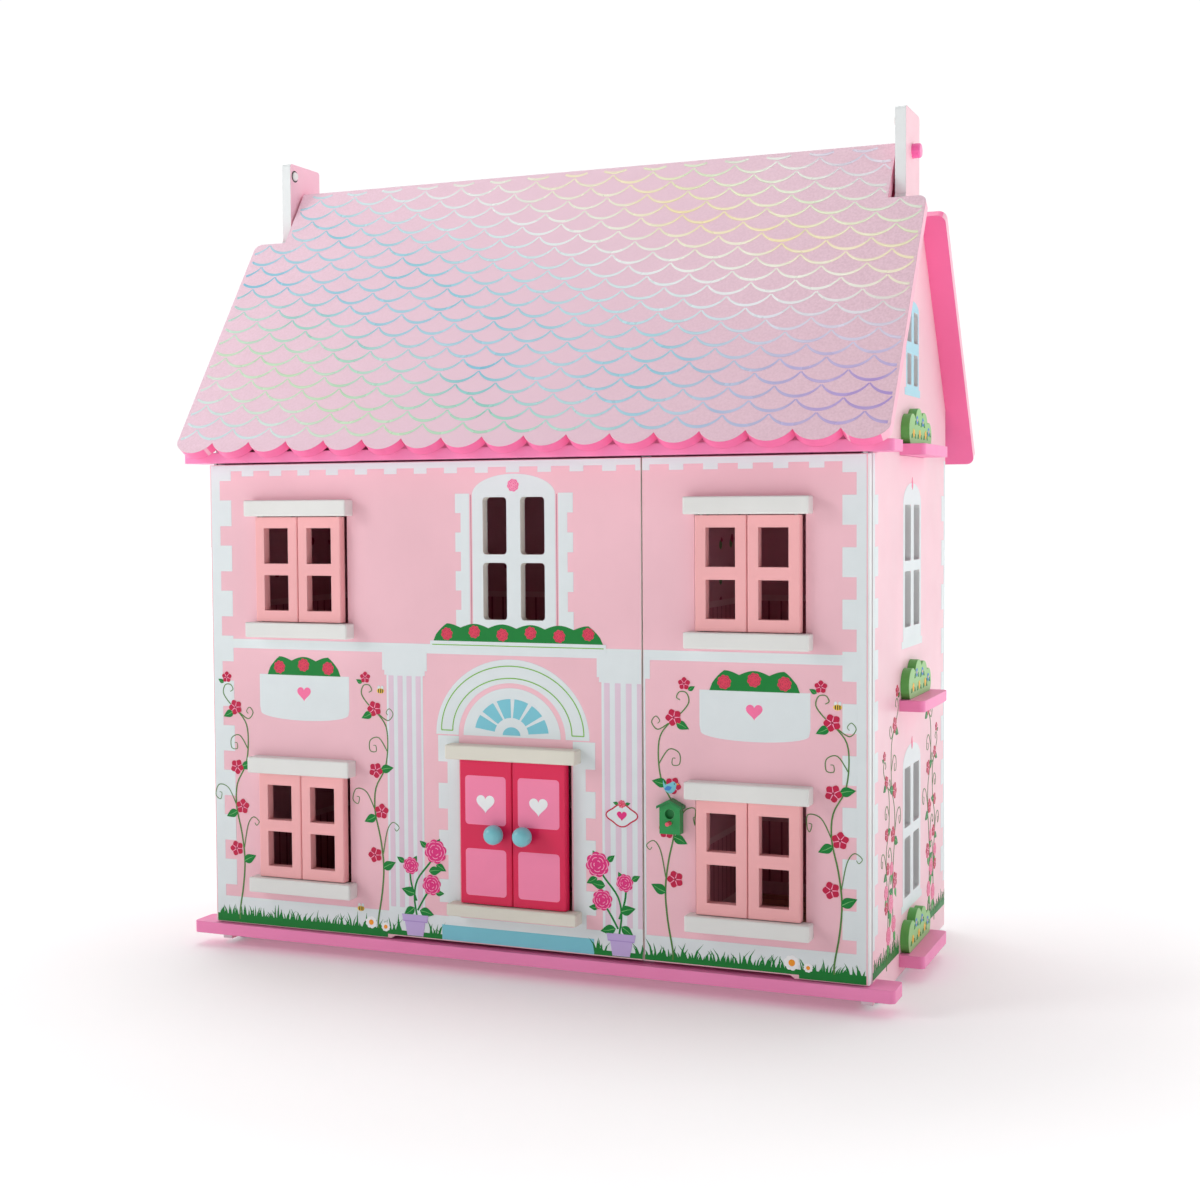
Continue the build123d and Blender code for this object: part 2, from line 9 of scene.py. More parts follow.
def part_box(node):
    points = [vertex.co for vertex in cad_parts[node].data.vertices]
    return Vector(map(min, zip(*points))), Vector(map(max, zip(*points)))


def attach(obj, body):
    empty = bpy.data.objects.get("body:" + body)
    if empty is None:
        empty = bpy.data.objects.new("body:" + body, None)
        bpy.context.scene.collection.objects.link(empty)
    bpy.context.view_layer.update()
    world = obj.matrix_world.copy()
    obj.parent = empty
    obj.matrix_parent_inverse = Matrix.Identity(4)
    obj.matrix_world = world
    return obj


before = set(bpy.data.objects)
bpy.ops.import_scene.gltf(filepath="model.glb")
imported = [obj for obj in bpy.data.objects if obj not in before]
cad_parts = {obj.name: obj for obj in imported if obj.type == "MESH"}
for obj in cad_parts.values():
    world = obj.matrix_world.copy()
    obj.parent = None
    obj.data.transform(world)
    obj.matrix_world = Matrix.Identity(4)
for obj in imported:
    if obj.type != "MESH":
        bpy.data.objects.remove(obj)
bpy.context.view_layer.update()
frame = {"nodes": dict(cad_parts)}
nodes = frame["nodes"]
MM = 0.001
HANDS = (("left", -1), ("right", 1))


def extent(node):
    """Lowest and highest corner of a CAD node, in millimetres."""
    low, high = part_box(node)
    return low / MM, high / MM


def add_object(name, data):
    """A new object in the scene."""
    thing = bpy.data.objects.new(name, data)
    bpy.context.scene.collection.objects.link(thing)
    return thing


# ---- Places read from the frame, in millimetres

PANEL_LOW, PANEL_HIGH = extent("front_panel_left")
RIGHT_LOW, RIGHT_HIGH = extent("front_panel_right")
FACE_Y = PANEL_LOW.y
BOTTOM = PANEL_LOW.z
TOP = PANEL_HIGH.z
SPLIT = (PANEL_HIGH.x + RIGHT_LOW.x) / 2  # between the two front panels
SIDE = RIGHT_HIGH.x  # outer face of the side walls
WALL_LOW, WALL_HIGH = extent("side_wall_right")
INSIDE = WALL_LOW.x
ROOF_HALF = extent("front_roof_panel")[1].x
POLE_LOW, POLE_HIGH = extent("ridge_pole")
RIDGE = (POLE_LOW.z + POLE_HIGH.z) / 2
GROUND_FLOOR = extent("base_board")[1].z
FIRST_FLOOR = extent("first_floor_board")[1].z
ATTIC_FLOOR = extent("attic_floor_board")[1].z
ATTIC_CEILING = extent("attic_floor_board")[0].z
BACK_IN = extent("back_wall")[0].y
BACK_OUT = extent("back_wall")[1].y

ROOF_PITCH = radians(56)
ROOF_THICKNESS = 9.0
ROOF_LENGTH = 305.7  # along the slope, ridge to scallop tips
ROOF_NOTCH = 58.6  # down the slope, where the roof widens past the tongues
ROOF_NARROW = 283.5  # half its width above that


# ---- Materials

def srgb(r, g, b):
    """A colour as it looks on a screen, 0 to 255, in Blender's linear values."""
    def lin(c):
        c /= 255
        return c / 12.92 if c <= 0.04045 else ((c + 0.055) / 1.055) ** 2.4
    return (lin(r), lin(g), lin(b), 1.0)


def shade(colour, k):
    """A lighter (k above 1) or darker colour."""
    return tuple(min(1.0, c * k) for c in colour[:3]) + (1.0,)


RANGE_SOCKETS = ("From Min", "From Max", "To Min", "To Max")
GRAIN_SCALE = 60
SPRAY_SCALE = 900  # fine texture of sprayed paint
BUMP_DISTANCE = 0.0004
ACROSS = (1.0, 12.0, 12.0)  # stretch of the wood grain
UPRIGHT = (12.0, 12.0, 1.0)


class Tree:
    """A short way to write a node material."""

    def __init__(self, name):
        self.material = bpy.data.materials.new(name)
        self.material.use_nodes = True
        self.nodes = self.material.node_tree.nodes
        self.links = self.material.node_tree.links
        self.shader = self.nodes["Principled BSDF"]
        self.place = self.nodes.new("ShaderNodeTexCoord").outputs["Object"]

    def add(self, kind, settings=None, **inputs):
        """A new node. Inputs are values or sockets."""
        node = self.nodes.new(kind)
        for key, value in (settings or {}).items():
            setattr(node, key, value)
        for key, value in inputs.items():
            self.put(node, key.replace("_", " "), value)
        return node

    def put(self, node, key, value):
        """Sets or links the input of that name or number."""
        socket = node.inputs[int(key)] if key.isdigit() else node.inputs[key]
        if isinstance(value, bpy.types.NodeSocket):
            self.links.new(value, socket)
        else:
            socket.default_value = value

    def noise(self, scale, detail=2.0, stretch=None):
        place = self.place
        if stretch:
            place = self.add("ShaderNodeMapping", Vector=place, Scale=stretch).outputs[0]
        return self.add("ShaderNodeTexNoise", Vector=place, Scale=scale, Detail=detail).outputs["Fac"]

    def math(self, operation, a, b=0.0):
        node = self.add("ShaderNodeMath", {"operation": operation})
        self.put(node, "0", a)
        self.put(node, "1", b)
        return node.outputs[0]

    def times(self, a, b):
        return self.math("MULTIPLY", a, b)

    def less(self, a, b):
        return self.math("SUBTRACT", a, b)

    def fit(self, value, low, high, out_low=0.0, out_high=1.0):
        """low to high becomes out_low to out_high, clamped."""
        node = self.add("ShaderNodeMapRange", Value=value)
        for key, number in zip(RANGE_SOCKETS, (low, high, out_low, out_high)):
            node.inputs[key].default_value = number
        return node.outputs[0]

    def mix(self, factor, a, b):
        node = self.add("ShaderNodeMix", {"data_type": "RGBA"})
        for index, value in (("0", factor), ("6", a), ("7", b)):
            self.put(node, index, value)
        return node.outputs[2]

    def cloudy(self, rgb, scale, detail, vary):
        """A colour that drifts between a little darker and a little lighter."""
        colour = srgb(*rgb)
        cloud = self.fit(self.noise(scale, detail), 0.3, 0.7)
        return self.mix(cloud, shade(colour, 1 - vary), shade(colour, 1 + vary))

    def axes(self):
        return self.add("ShaderNodeSeparateXYZ", Vector=self.place).outputs

    def gloss(self, key, value):
        """Sets a plain number or colour on the shader."""
        self.shader.inputs[key].default_value = value

    def ramp(self, value, stops):
        """Colours, 0 to 255, at places from 0 to 1."""
        node = self.add("ShaderNodeValToRGB", Fac=value)
        ramp = node.color_ramp
        while len(ramp.elements) < len(stops):
            ramp.elements.new(0.5)
        for element, (at, colour) in zip(ramp.elements, stops):
            element.position = at
            element.color = srgb(*colour)
        return node.outputs["Color"]

    def finish(self, colour, rough, peel=0.12, bevel=0.0, wood=0.0):
        """Satin paint: orange peel, faint grain, softened edges with thinner paint."""
        normal = None
        if bevel:
            soft = self.add("ShaderNodeBevel", {"samples": 4}, Radius=bevel).outputs[0]
            flat = self.add("ShaderNodeNewGeometry").outputs["Normal"]
            turn = self.add("ShaderNodeVectorMath", {"operation": "DOT_PRODUCT"})
            self.put(turn, "0", soft)
            self.put(turn, "1", flat)
            edge = self.fit(turn.outputs["Value"], 0.99, 0.8, 0.0, 0.45)
            worn = self.times(edge, self.fit(self.noise(90, 3), 0.35, 0.65))
            light = self.mix(0.55, colour, (0.9, 0.85, 0.82, 1))
            colour = self.mix(worn, colour, light)
            normal = soft
        height = self.noise(SPRAY_SCALE, 2)
        if wood:
            grain = self.noise(GRAIN_SCALE, 4, wood)
            height = self.math("ADD", height, self.times(grain, 1.5))
        bump = self.add("ShaderNodeBump", Height=height, Strength=peel, Distance=BUMP_DISTANCE)
        if normal:
            self.put(bump, "Normal", normal)
        self.put(self.shader, "Normal", bump.outputs[0])
        self.put(self.shader, "Base Color", colour)
        sheen = self.fit(self.noise(35, 3), 0.3, 0.7, rough - 0.05, rough + 0.07)
        self.put(self.shader, "Roughness", sheen)
        return self.material


def paint(name, rgb, rough=0.42, grain=ACROSS, bevel=0.0007, coat=0.0):
    """Sprayed satin paint on wood."""
    tree = Tree(name)
    tone = tree.cloudy(rgb, 9, 4, 0.05)
    tree.gloss("Specular IOR Level", 0.38)
    if coat:
        tree.gloss("Coat Weight", coat)
        tree.gloss("Coat Roughness", 0.15)
    return tree.finish(tone, rough, bevel=bevel, wood=grain)


def ink(name, rgb):
    """Printed colour, a little uneven."""
    tree = Tree(name)
    tone = tree.cloudy(rgb, 60, 3, 0.012)
    tree.gloss("Specular IOR Level", 0.3)
    return tree.finish(tone, 0.45, peel=0.08)


def metal(name, colour, rough):
    """Brushed metal."""
    tree = Tree(name)
    tree.gloss("Metallic", 1.0)
    brushed = tree.noise(300, 2, (1.0, 1.0, 0.05))
    tone = tree.mix(brushed, shade(colour, 0.85), shade(colour, 1.1))
    return tree.finish(tone, rough, peel=0.1, bevel=0.0002)


# Room paper, heights in metres over each floor
SKIRTING_TOP = 0.0125
DADO_TOP = 0.070
RAIL_MIDDLE = 0.072
RAIL_HALF = 0.003
STRIPE_PITCH = 0.012
GABLE_PAPER_TOP = 0.62  # over the ground, above which the wall is plain
PRINT_BLUR = 0.0005


def paper(name, along):
    """Room paper: rose sprigs over a dado rail and stripes. along is the wall's level axis."""
    tree = Tree(name)
    axes = tree.axes()
    height = tree.less(axes["Z"], GROUND_FLOOR * MM)
    for low, high in ((GROUND_FLOOR, FIRST_FLOOR), (FIRST_FLOOR, ATTIC_FLOOR)):
        above = tree.math("GREATER_THAN", axes["Z"], (high - 5) * MM)
        height = tree.less(height, tree.times(above, (high - low) * MM))
    shifted = tree.add("ShaderNodeMapping", Vector=tree.place, Location=(0.003, 0.003, 0.004)).outputs[0]
    rosebuds, leaves = [tree.add("ShaderNodeTexVoronoi", {"feature": "F1"}, Vector=place, Scale=34.0,
                                 Randomness=0.3).outputs["Distance"] for place in (tree.place, shifted)]
    ragged = tree.math("ADD", rosebuds, tree.times(tree.noise(300, 1), 0.1))
    petal = tree.fit(ragged, 0.21, 0.19)
    green = tree.fit(leaves, 0.15, 0.13)
    ground = tree.mix(tree.noise(20, 3), srgb(232, 158, 174), srgb(238, 172, 186))
    upper = tree.mix(petal, tree.mix(green, ground, srgb(120, 150, 96)), srgb(190, 58, 96))
    stripe = tree.math("FRACT", tree.times(axes[along], 1 / STRIPE_PITCH))
    line = tree.fit(tree.math("ABSOLUTE", tree.less(stripe, 0.5)), 0.40, 0.46)
    lower = tree.mix(line, srgb(228, 150, 168), srgb(188, 84, 114))
    wall = tree.mix(tree.fit(height, DADO_TOP - PRINT_BLUR, DADO_TOP), lower, upper)
    from_rail = tree.math("ABSOLUTE", tree.less(height, RAIL_MIDDLE))
    rail = tree.fit(from_rail, RAIL_HALF, RAIL_HALF - 0.0004)
    skirting = tree.fit(height, SKIRTING_TOP, SKIRTING_TOP - PRINT_BLUR)
    wall = tree.mix(tree.math("MAXIMUM", rail, skirting), wall, srgb(244, 190, 200))
    top = tree.fit(axes["Z"], GABLE_PAPER_TOP - PRINT_BLUR, GABLE_PAPER_TOP)
    wall = tree.mix(top, wall, srgb(246, 196, 212))
    return tree.finish(wall, 0.6, peel=0.1)


def planks(name, light, dark, width):
    """Printed floorboards that run across the house."""
    tree = Tree(name)
    board = tree.add("ShaderNodeTexBrick", Vector=tree.place, Scale=1.0, Color1=light,
                     Color2=dark, Mortar=shade(dark, 0.45))
    board.offset = 0.37
    for key, value in (("Mortar Size", 0.0006), ("Brick Width", 0.16), ("Row Height", width)):
        board.inputs[key].default_value = value
    grain = tree.fit(tree.noise(26, 6, (1.0, 14.0, 1.0)), 0.3, 0.75, 0.0, 0.35)
    tone = tree.mix(grain, board.outputs["Color"], shade(dark, 0.6))
    return tree.finish(tone, 0.5, peel=0.1)


def foil():
    """Holographic foil: its reflected rainbow colours are painted in, as slanting bands across the roof.
    """
    tree = Tree("foil_scales")
    axes = tree.axes()
    drop = ROOF_LENGTH * sin(ROOF_PITCH)
    down = tree.times(tree.less(RIDGE * MM, axes["Z"]), 1 / (drop * MM))
    across = tree.times(axes["X"], 1 / (ROOF_HALF * MM))
    drift = tree.times(tree.less(tree.noise(7, 2), 0.5), 0.22)
    band = tree.math("ADD", tree.less(down, tree.times(across, 0.45)), drift)
    # painted reflection: the foil's rainbow sheen, set as fixed colours along the bands
    painted_reflection_colours = tree.ramp(tree.fit(band, -0.35, 1.25), [
        (0.00, (205, 196, 214)), (0.12, (222, 232, 196)), (0.20, (250, 232, 180)),
        (0.29, (246, 244, 226)), (0.36, (248, 250, 250)), (0.44, (206, 236, 242)),
        (0.52, (150, 214, 232)), (0.68, (142, 208, 232)), (0.77, (166, 224, 206)),
        (0.86, (206, 236, 196)), (0.93, (226, 242, 224)), (1.00, (216, 240, 244))])
    # painted reflection: a lilac patch of the sheen towards the lower right
    lilac = tree.times(tree.fit(across, 0.35, 0.8), tree.fit(down, 0.45, 0.75))
    tone = tree.mix(lilac, painted_reflection_colours, srgb(186, 158, 222))
    # painted reflection: paler, whiter patches of the sheen
    tone = tree.mix(tree.fit(tree.noise(14, 3), 0.35, 0.65, 0.0, 0.4), tone, srgb(250, 251, 252))
    tree.gloss("Metallic", 0.12)
    return tree.finish(tone, 0.25, peel=0.2)


def roof_print():
    """Pale pink under the foil scales, with painted shade: darker towards the right."""
    tree = Tree("roof_print")
    across = tree.fit(tree.axes()["X"], -ROOF_HALF * MM, ROOF_HALF * MM)
    # painted shade: the pink darkens from left to right, where less light falls on the roof
    pinks_with_painted_shade = tree.ramp(across, [(0.0, (250, 216, 231)), (0.5, (240, 204, 219)), (1.0, (224, 186, 200))])
    tone = tree.mix(tree.fit(tree.noise(500, 2), 0.3, 0.7), pinks_with_painted_shade, shade(srgb(244, 208, 222), 0.96))
    return tree.finish(tone, 0.45, peel=0.2, bevel=0.0006)


M = {
    "wall": paint("wall_pink_print", (243, 193, 204), grain=UPRIGHT),
    "side": paint("side_wall_pink_print", (245, 202, 212), grain=UPRIGHT),
    "edge": paint("edge_white", (232, 236, 236)),
    "pane_edge": paint("pane_edge_cream", (238, 234, 226)),
    "board": paint("board_pink", (255, 142, 194)),
    "hot": paint("roof_underside_pink", (252, 118, 172)),
    "rim": paint("roof_rim_pink", (250, 186, 206)),
    "pole": paint("pole_hot_pink", (252, 104, 176), rough=0.3, coat=0.3),
    "trim": paint("trim_white", (230, 231, 228)),
    "cream": paint("trim_cream", (226, 223, 210)),
    "sash": paint("sash_salmon", (248, 180, 182), grain=UPRIGHT),
    "door": paint("door_crimson", (226, 26, 82), grain=UPRIGHT),
    "knob": paint("knob_turquoise", (124, 200, 210), rough=0.3, coat=0.4),
    "bush": paint("bush_face_green", (152, 206, 132), rough=0.45),
    "bush_edge": paint("bush_edge_green", (96, 176, 84)),
    "bird_green": paint("birdhouse_green", (36, 150, 78)),
    "bird_roof": paint("birdhouse_roof_green", (24, 128, 66)),
    "perch": paint("perch_pink", (236, 90, 110)),
    "stair": paint("stair_rose", (206, 128, 150)),
    "tread": paint("tread_oak", (206, 168, 130)),
    "steel": metal("pin_steel", srgb(190, 190, 188), 0.3),
    "nickel": metal("magnet_nickel_plate", srgb(205, 203, 198), 0.2),
    "glide": paint("glide_plastic", (120, 118, 120), rough=0.5, bevel=0.0005),
    "stud": paint("stud_plastic", (236, 236, 234), rough=0.3, bevel=0.0004),
    "roof": roof_print(),
    "foil": foil(),
    "paper_x": paper("room_paper_across", "X"),
    "paper_y": paper("room_paper_along", "Y"),
    "oak": planks("floor_oak_print", srgb(226, 190, 150), srgb(205, 164, 122), 0.022),
    "birch": planks("floor_birch_print", srgb(240, 214, 186), srgb(228, 196, 164), 0.026),
}

INK = {name: ink("ink_" + name, rgb) for name, rgb in {
    "white": (226, 234, 236), "snow": (244, 246, 247), "lilac": (228, 204, 220),
    "pink": (248, 150, 186), "heart": (252, 120, 168), "crimson": (196, 18, 68),
    "coral": (222, 64, 92), "coral_line": (168, 34, 66), "rose": (228, 46, 128),
    "rose_line": (250, 176, 208), "leaf": (0, 128, 50), "leaf_line": (110, 190, 110),
    "stem": (84, 132, 62), "grass": (0, 126, 46), "lime": (128, 190, 78),
    "pot": (198, 176, 226), "pot_rim": (178, 152, 214), "turquoise": (126, 202, 218),
    "orange": (250, 158, 40), "yellow": (248, 206, 70), "black": (46, 34, 34),
    "sky": (172, 222, 236), "inset": (253, 140, 178), "blue": (70, 140, 214),
    "pale_rose": (238, 120, 158), "pale_leaf": (70, 168, 80), "glass": (122, 112, 126),
    "line": (196, 120, 140),
}.items()}


# ---- Boards: which material each face of a CAD node gets

def dress(node, default, *rules):
    """Each face takes the first material whose test of (normal, centre) holds."""
    mesh = nodes[node].data
    mesh.materials.clear()
    for key in [default] + [key for key, _ in rules]:
        mesh.materials.append(M[key])
    for face in mesh.polygons:
        centre = face.center / MM
        hits = [index for index, (_, test) in enumerate(rules) if test(face.normal, centre)]
        face.material_index = hits[0] + 1 if hits else 0


FACING = 0.9  # how straight a face looks along an axis


def facing(axis, sign):
    """The test for faces that look along an axis, or against it."""
    return lambda normal, centre: getattr(normal, axis) * sign > FACING


def is_pane_cut(normal, centre):
    """The cut edges inside a front panel's openings."""
    is_edge = abs(normal.y) < 0.5
    return is_edge and abs(abs(centre.x) - SIDE) > 3 and BOTTOM + 10 < centre.z < TOP - 3


def dress_boards():
    """Boards whose faces differ: print outside, paper inside, paint on the edges."""
    for hand, side in HANDS:
        dress(f"front_panel_{hand}", "edge",
              ("wall", facing("y", -1)), ("paper_x", facing("y", 1)), ("pane_edge", is_pane_cut))
        dress(f"side_wall_{hand}", "edge",
              ("side", facing("x", side)), ("paper_y", facing("x", -side)))
    dress("back_wall", "edge", ("side", facing("y", 1)), ("paper_x", facing("y", -1)))
    for storey in ("ground", "first"):
        dress(f"{storey}_partition", "edge", ("paper_y", lambda n, c: abs(n.x) > FACING))
    for node, side in (("front_roof_panel", -1), ("back_roof_panel", 1)):
        out = Vector((0, side * sin(ROOF_PITCH), cos(ROOF_PITCH)))
        dress(node, "hot", ("roof", lambda n, c, f=out: n.dot(f) > 0.95),
              ("rim", lambda n, c: abs(n.x) > 0.6 and abs(c.x) > ROOF_NARROW - 1))


# The first word that a node's name holds says its material
WHOLE = (
    ("_board", "board"), ("ridge_pole", "pole"), ("_pins", "steel"), ("striker_plates", "steel"),
    ("catch_magnets", "nickel"), ("glide_feet", "glide"), ("catch_studs", "stud"),
    ("door_lintel", "cream"), ("door_sill", "cream"), ("door_leaf", "door"), ("door_knob", "knob"),
    ("birdhouse_body", "bird_green"), ("birdhouse_roof", "bird_roof"), ("birdhouse_perch", "perch"),
    ("stringers", "stair"), ("treads", "tread"), ("_lintel", "trim"), ("_sill", "trim"),
    ("_sash_", "sash"),
)


def dress_whole():
    """Nodes of one colour all over, then the bushes."""
    for name in nodes:
        keys = [key for word, key in WHOLE if word in name]
        if keys:
            dress(name, keys[0])
        elif "_bush_" in name:
            dress(name, "bush_edge", ("bush", lambda n, c: abs(n.x) > FACING))


# ---- Print: thin flat ink on a plane

# Heights of the ink over the board, in millimetres
INK_FOOT = 0.05
LAYER_STEP = 0.06
SHAPE_STEP = 0.002
SHAPE_STEPS = 23
NARROWEST = 0.3


class Print:
    """Ink on one face of the house: closed flat prisms, each drawn in its own layer.

    u runs to the right and v up as seen from outside, in millimetres. clip is the printed width.
    """

    def __init__(self, name, body, slot, origin, u=(1, 0, 0), v=(0, 0, 1), clip=None):
        self.name, self.body, self.slot = name, body, slot
        self.origin, self.u, self.v = Vector(origin), Vector(u), Vector(v)
        self.n = self.u.cross(self.v)
        self.clip = clip
        self.verts, self.faces, self.inks, self.used = [], [], [], []
        self.count = 0

    def point(self, u, v, h):
        """A corner at height h over the face."""
        self.verts.append((self.origin + self.u * u + self.v * v + self.n * h) * MM)
        return len(self.verts) - 1

    def height(self, layer):
        """Shapes of one layer differ a hair in height, so that they don't coincide."""
        self.count += 1
        return INK_FOOT + LAYER_STEP * layer + SHAPE_STEP * (self.count % SHAPE_STEPS)

    def face(self, corners, key):
        if key not in self.used:
            self.used.append(key)
        self.faces.append(corners)
        self.inks.append(self.used.index(key))

    def shape(self, points, key, layer=0):
        """A filled outline."""
        area = sum(a[0] * b[1] - b[0] * a[1] for a, b in zip(points, points[1:] + points[:1]))
        if area < 0:
            points = points[::-1]
        top = self.height(layer)
        front = [self.point(u, v, top) for u, v in points]
        back = [self.point(u, v, 0) for u, v in points]
        self.face(front, key)
        self.face(back[::-1], key)
        for i in range(len(points)):
            j = (i + 1) % len(points)
            self.face([front[j], front[i], back[i], back[j]], key)

    def rect(self, u0, v0, u1, v1, layer=0, key="white"):
        """A rectangle, cut to the printed width."""
        u0, u1 = sorted((u0, u1))
        if self.clip:
            u0, u1 = max(u0, self.clip[0]), min(u1, self.clip[1])
        if u1 - u0 > NARROWEST:
            self.shape([(u0, v0), (u1, v0), (u1, v1), (u0, v1)], key, layer)

    def stroke(self, points, width, key, layer=1, closed=False):
        """A line of even or given widths."""
        count = len(points)
        widths = width if isinstance(width, list) else [width] * count
        top = self.height(layer)
        rings = []
        for i, (u, v) in enumerate(points):
            a = points[i - 1] if i or closed else points[i]
            b = points[(i + 1) % count] if i < count - 1 or closed else points[i]
            du, dv = b[0] - a[0], b[1] - a[1]
            size = hypot(du, dv) or 1.0
            pu, pv = -dv / size * widths[i] / 2, du / size * widths[i] / 2
            rings.append([self.point(u + pu, v + pv, top), self.point(u - pu, v - pv, top),
                          self.point(u - pu, v - pv, 0), self.point(u + pu, v + pv, 0)])
        pairs = list(zip(rings, rings[1:])) + ([(rings[-1], rings[0])] if closed else [])
        for a, b in pairs:
            for k in range(4):
                self.face([a[k], a[(k + 1) % 4], b[(k + 1) % 4], b[k]], key)
        if not closed:
            self.face(rings[0][::-1], key)
            self.face(rings[-1], key)

    def done(self):
        """Makes the piece. It rides on its body."""
        mesh = bpy.data.meshes.new(self.name)
        mesh.from_pydata(self.verts, [], self.faces)
        for key in self.used:
            mesh.materials.append(INK.get(key) or M[key])
        mesh.polygons.foreach_set("material_index", self.inks)
        piece = add_object(self.name, mesh)
        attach(piece, self.body)


# ---- Outlines

def arc(cu, cv, ru, rv, start, end, steps):
    """Points on an ellipse from one angle to another, in degrees."""
    return [(cu + ru * cos(radians(start + (end - start) * i / steps)),
             cv + rv * sin(radians(start + (end - start) * i / steps))) for i in range(steps + 1)]


def disc(cu, cv, ru, rv, count):
    """An ellipse of count points."""
    return arc(cu, cv, ru, rv, 0, 360 - 360 / count, count - 1)


def round_rect(u0, v0, u1, v1, r):
    """A rectangle with round corners."""
    corners = ((u1 - r, v1 - r), (u0 + r, v1 - r), (u0 + r, v0 + r), (u1 - r, v0 + r))
    return [point for index, (cu, cv) in enumerate(corners)
            for point in arc(cu, cv, r, r, 90 * index, 90 * index + 90, 4)]


def smooth(points, steps=6):
    """A Catmull-Rom curve through the points."""
    ends = [points[0]] + points + [points[-1]]
    curve = []
    for a, b, c, d in zip(ends, ends[1:], ends[2:], ends[3:]):
        for i in range(steps):
            t = i / steps
            curve.append(tuple(0.5 * (2 * q + (r - p) * t + (2 * p - 5 * q + 4 * r - s) * t * t
                                      + (3 * q - p - 3 * r + s) * t ** 3)
                               for p, q, r, s in zip(a, b, c, d)))
    return curve + [points[-1]]


def heart(cu, cv, size):
    """A heart of the given width."""
    points = []
    for i in range(36):
        t = 2 * pi * i / 36
        points.append((cu + size / 2 * sin(t) ** 3,
                       cv + size / 32 * (13 * cos(t) - 5 * cos(2 * t) - 2 * cos(3 * t) - cos(4 * t))))
    return points


def lobes(cu, cv, radius, count, depth, turn):
    """A round shape with a scalloped edge."""
    total = 6 * count
    points = []
    for i in range(total):
        reach = radius * (1 - depth + depth * abs(cos(count * pi * i / total)))
        a = turn + 2 * pi * i / total
        points.append((cu + reach * cos(a), cv + reach * sin(a)))
    return points


# ---- Motifs

def leaf(p, u, v, angle, length, key="leaf", layer=4):
    """A pointed leaf from its stalk at (u, v)."""
    a = radians(angle)
    along, across = (cos(a), sin(a)), (-sin(a), cos(a))

    def at(s, w):
        return (u + along[0] * s * length + across[0] * w * length,
                v + along[1] * s * length + across[1] * w * length)
    curve = smooth([(0, 0), (0.2, 0.24), (0.45, 0.31), (0.75, 0.18), (1.05, 0)], 3)
    p.shape([at(s, w) for s, w in curve] + [at(s, -w) for s, w in curve[-2:0:-1]], key, layer)
    widths = [length * 0.05, length * 0.04, length * 0.015]
    p.stroke([at(0.08, 0), at(0.5, 0.03), at(0.85, 0)], widths, "leaf_line", layer + 1)


def blossom(p, u, v, radius, turn):
    """A five-petalled briar rose with pale veins."""
    petal = radius * 0.52
    for i in range(5):
        a = turn + i * 2 * pi / 5
        outline = []
        for k in range(14):
            t = 2 * pi * k / 14
            reach = petal * (1 + 0.1 * cos(3 * (t - a)))
            outline.append((u + cos(a) * petal + reach * cos(t), v + sin(a) * petal + reach * sin(t)))
        p.shape(outline, "crimson", 5)
    for i in range(5):
        a = turn + (i + 0.5) * 2 * pi / 5
        vein = [(u + cos(a) * radius * r, v + sin(a) * radius * r) for r in (0.12, 0.9)]
        p.stroke(vein, [radius * 0.12, radius * 0.05], "rose_line", 6)
    p.shape(disc(u, v, radius * 0.16, radius * 0.16, 12), "coral_line", 7)


def rose(p, u, v, radius, key="rose", line="rose_line", layer=3):
    """A full rose: a scalloped disc with rings of petal edges."""
    p.shape(lobes(u, v, radius, 8, 0.14, 0.2), key, layer)
    for ring, count, width in ((0.78, 6, 0.055), (0.53, 5, 0.06), (0.28, 3, 0.065)):
        bend = radius * ring * 0.62
        size = radius * width
        for i in range(count):
            a = ring * 4 + i * 2 * pi / count
            cu, cv = u + cos(a) * radius * ring * 0.45, v + sin(a) * radius * ring * 0.45
            bow = arc(cu, cv, bend, bend, degrees(a) - 48, degrees(a) + 48, 7)
            p.stroke(bow, [size * 0.4] + [size] * 6 + [size * 0.4], line, layer + 1)


# A climbing rose, in millimetres from its foot
STEM = [
    (0, -8), (0, 0), (4, 23), (5.7, 46), (3, 69), (-2, 92), (-1, 112), (8, 129), (11, 148),
    (9.4, 165), (1, 176), (-8.3, 184), (-14, 192), (-12, 199), (-6.5, 199.6), (-4, 195.5),
    (-6.8, 193.4),
]
CURLS = [
    [(2.7, 175), (11.4, 170), (16.4, 175.5), (13, 180.2), (9.8, 177), (11.4, 174.6)],
    [(10.9, 143), (2.5, 155), (-6, 152.5), (-6.2, 144), (-0.6, 143.2), (-0.6, 148), (-3, 148.4)],
    [(-2, 93), (-10, 108), (-20, 110.5), (-23.6, 101.5), (-18.8, 97.6), (-17.2, 103), (-19.6, 104)],
    [(5.4, 56), (9.5, 76), (15, 83.6), (21, 80), (18.6, 76.4), (16.6, 78.6)],
]
BLOSSOMS = [
    (-10.2, 206, 4.6), (-1.6, 179.7, 6.2), (-0.8, 127.2, 6.2), (4.4, 92.4, 6.2), (-2.4, 54.8, 6.2),
]
LEAVES = [
    (-13.5, 201, 150, 6), (-3.6, 176, 205, 11), (4, 128, 10, 12), (-1, 88, 205, 12), (5, 44, 25, 13),
]


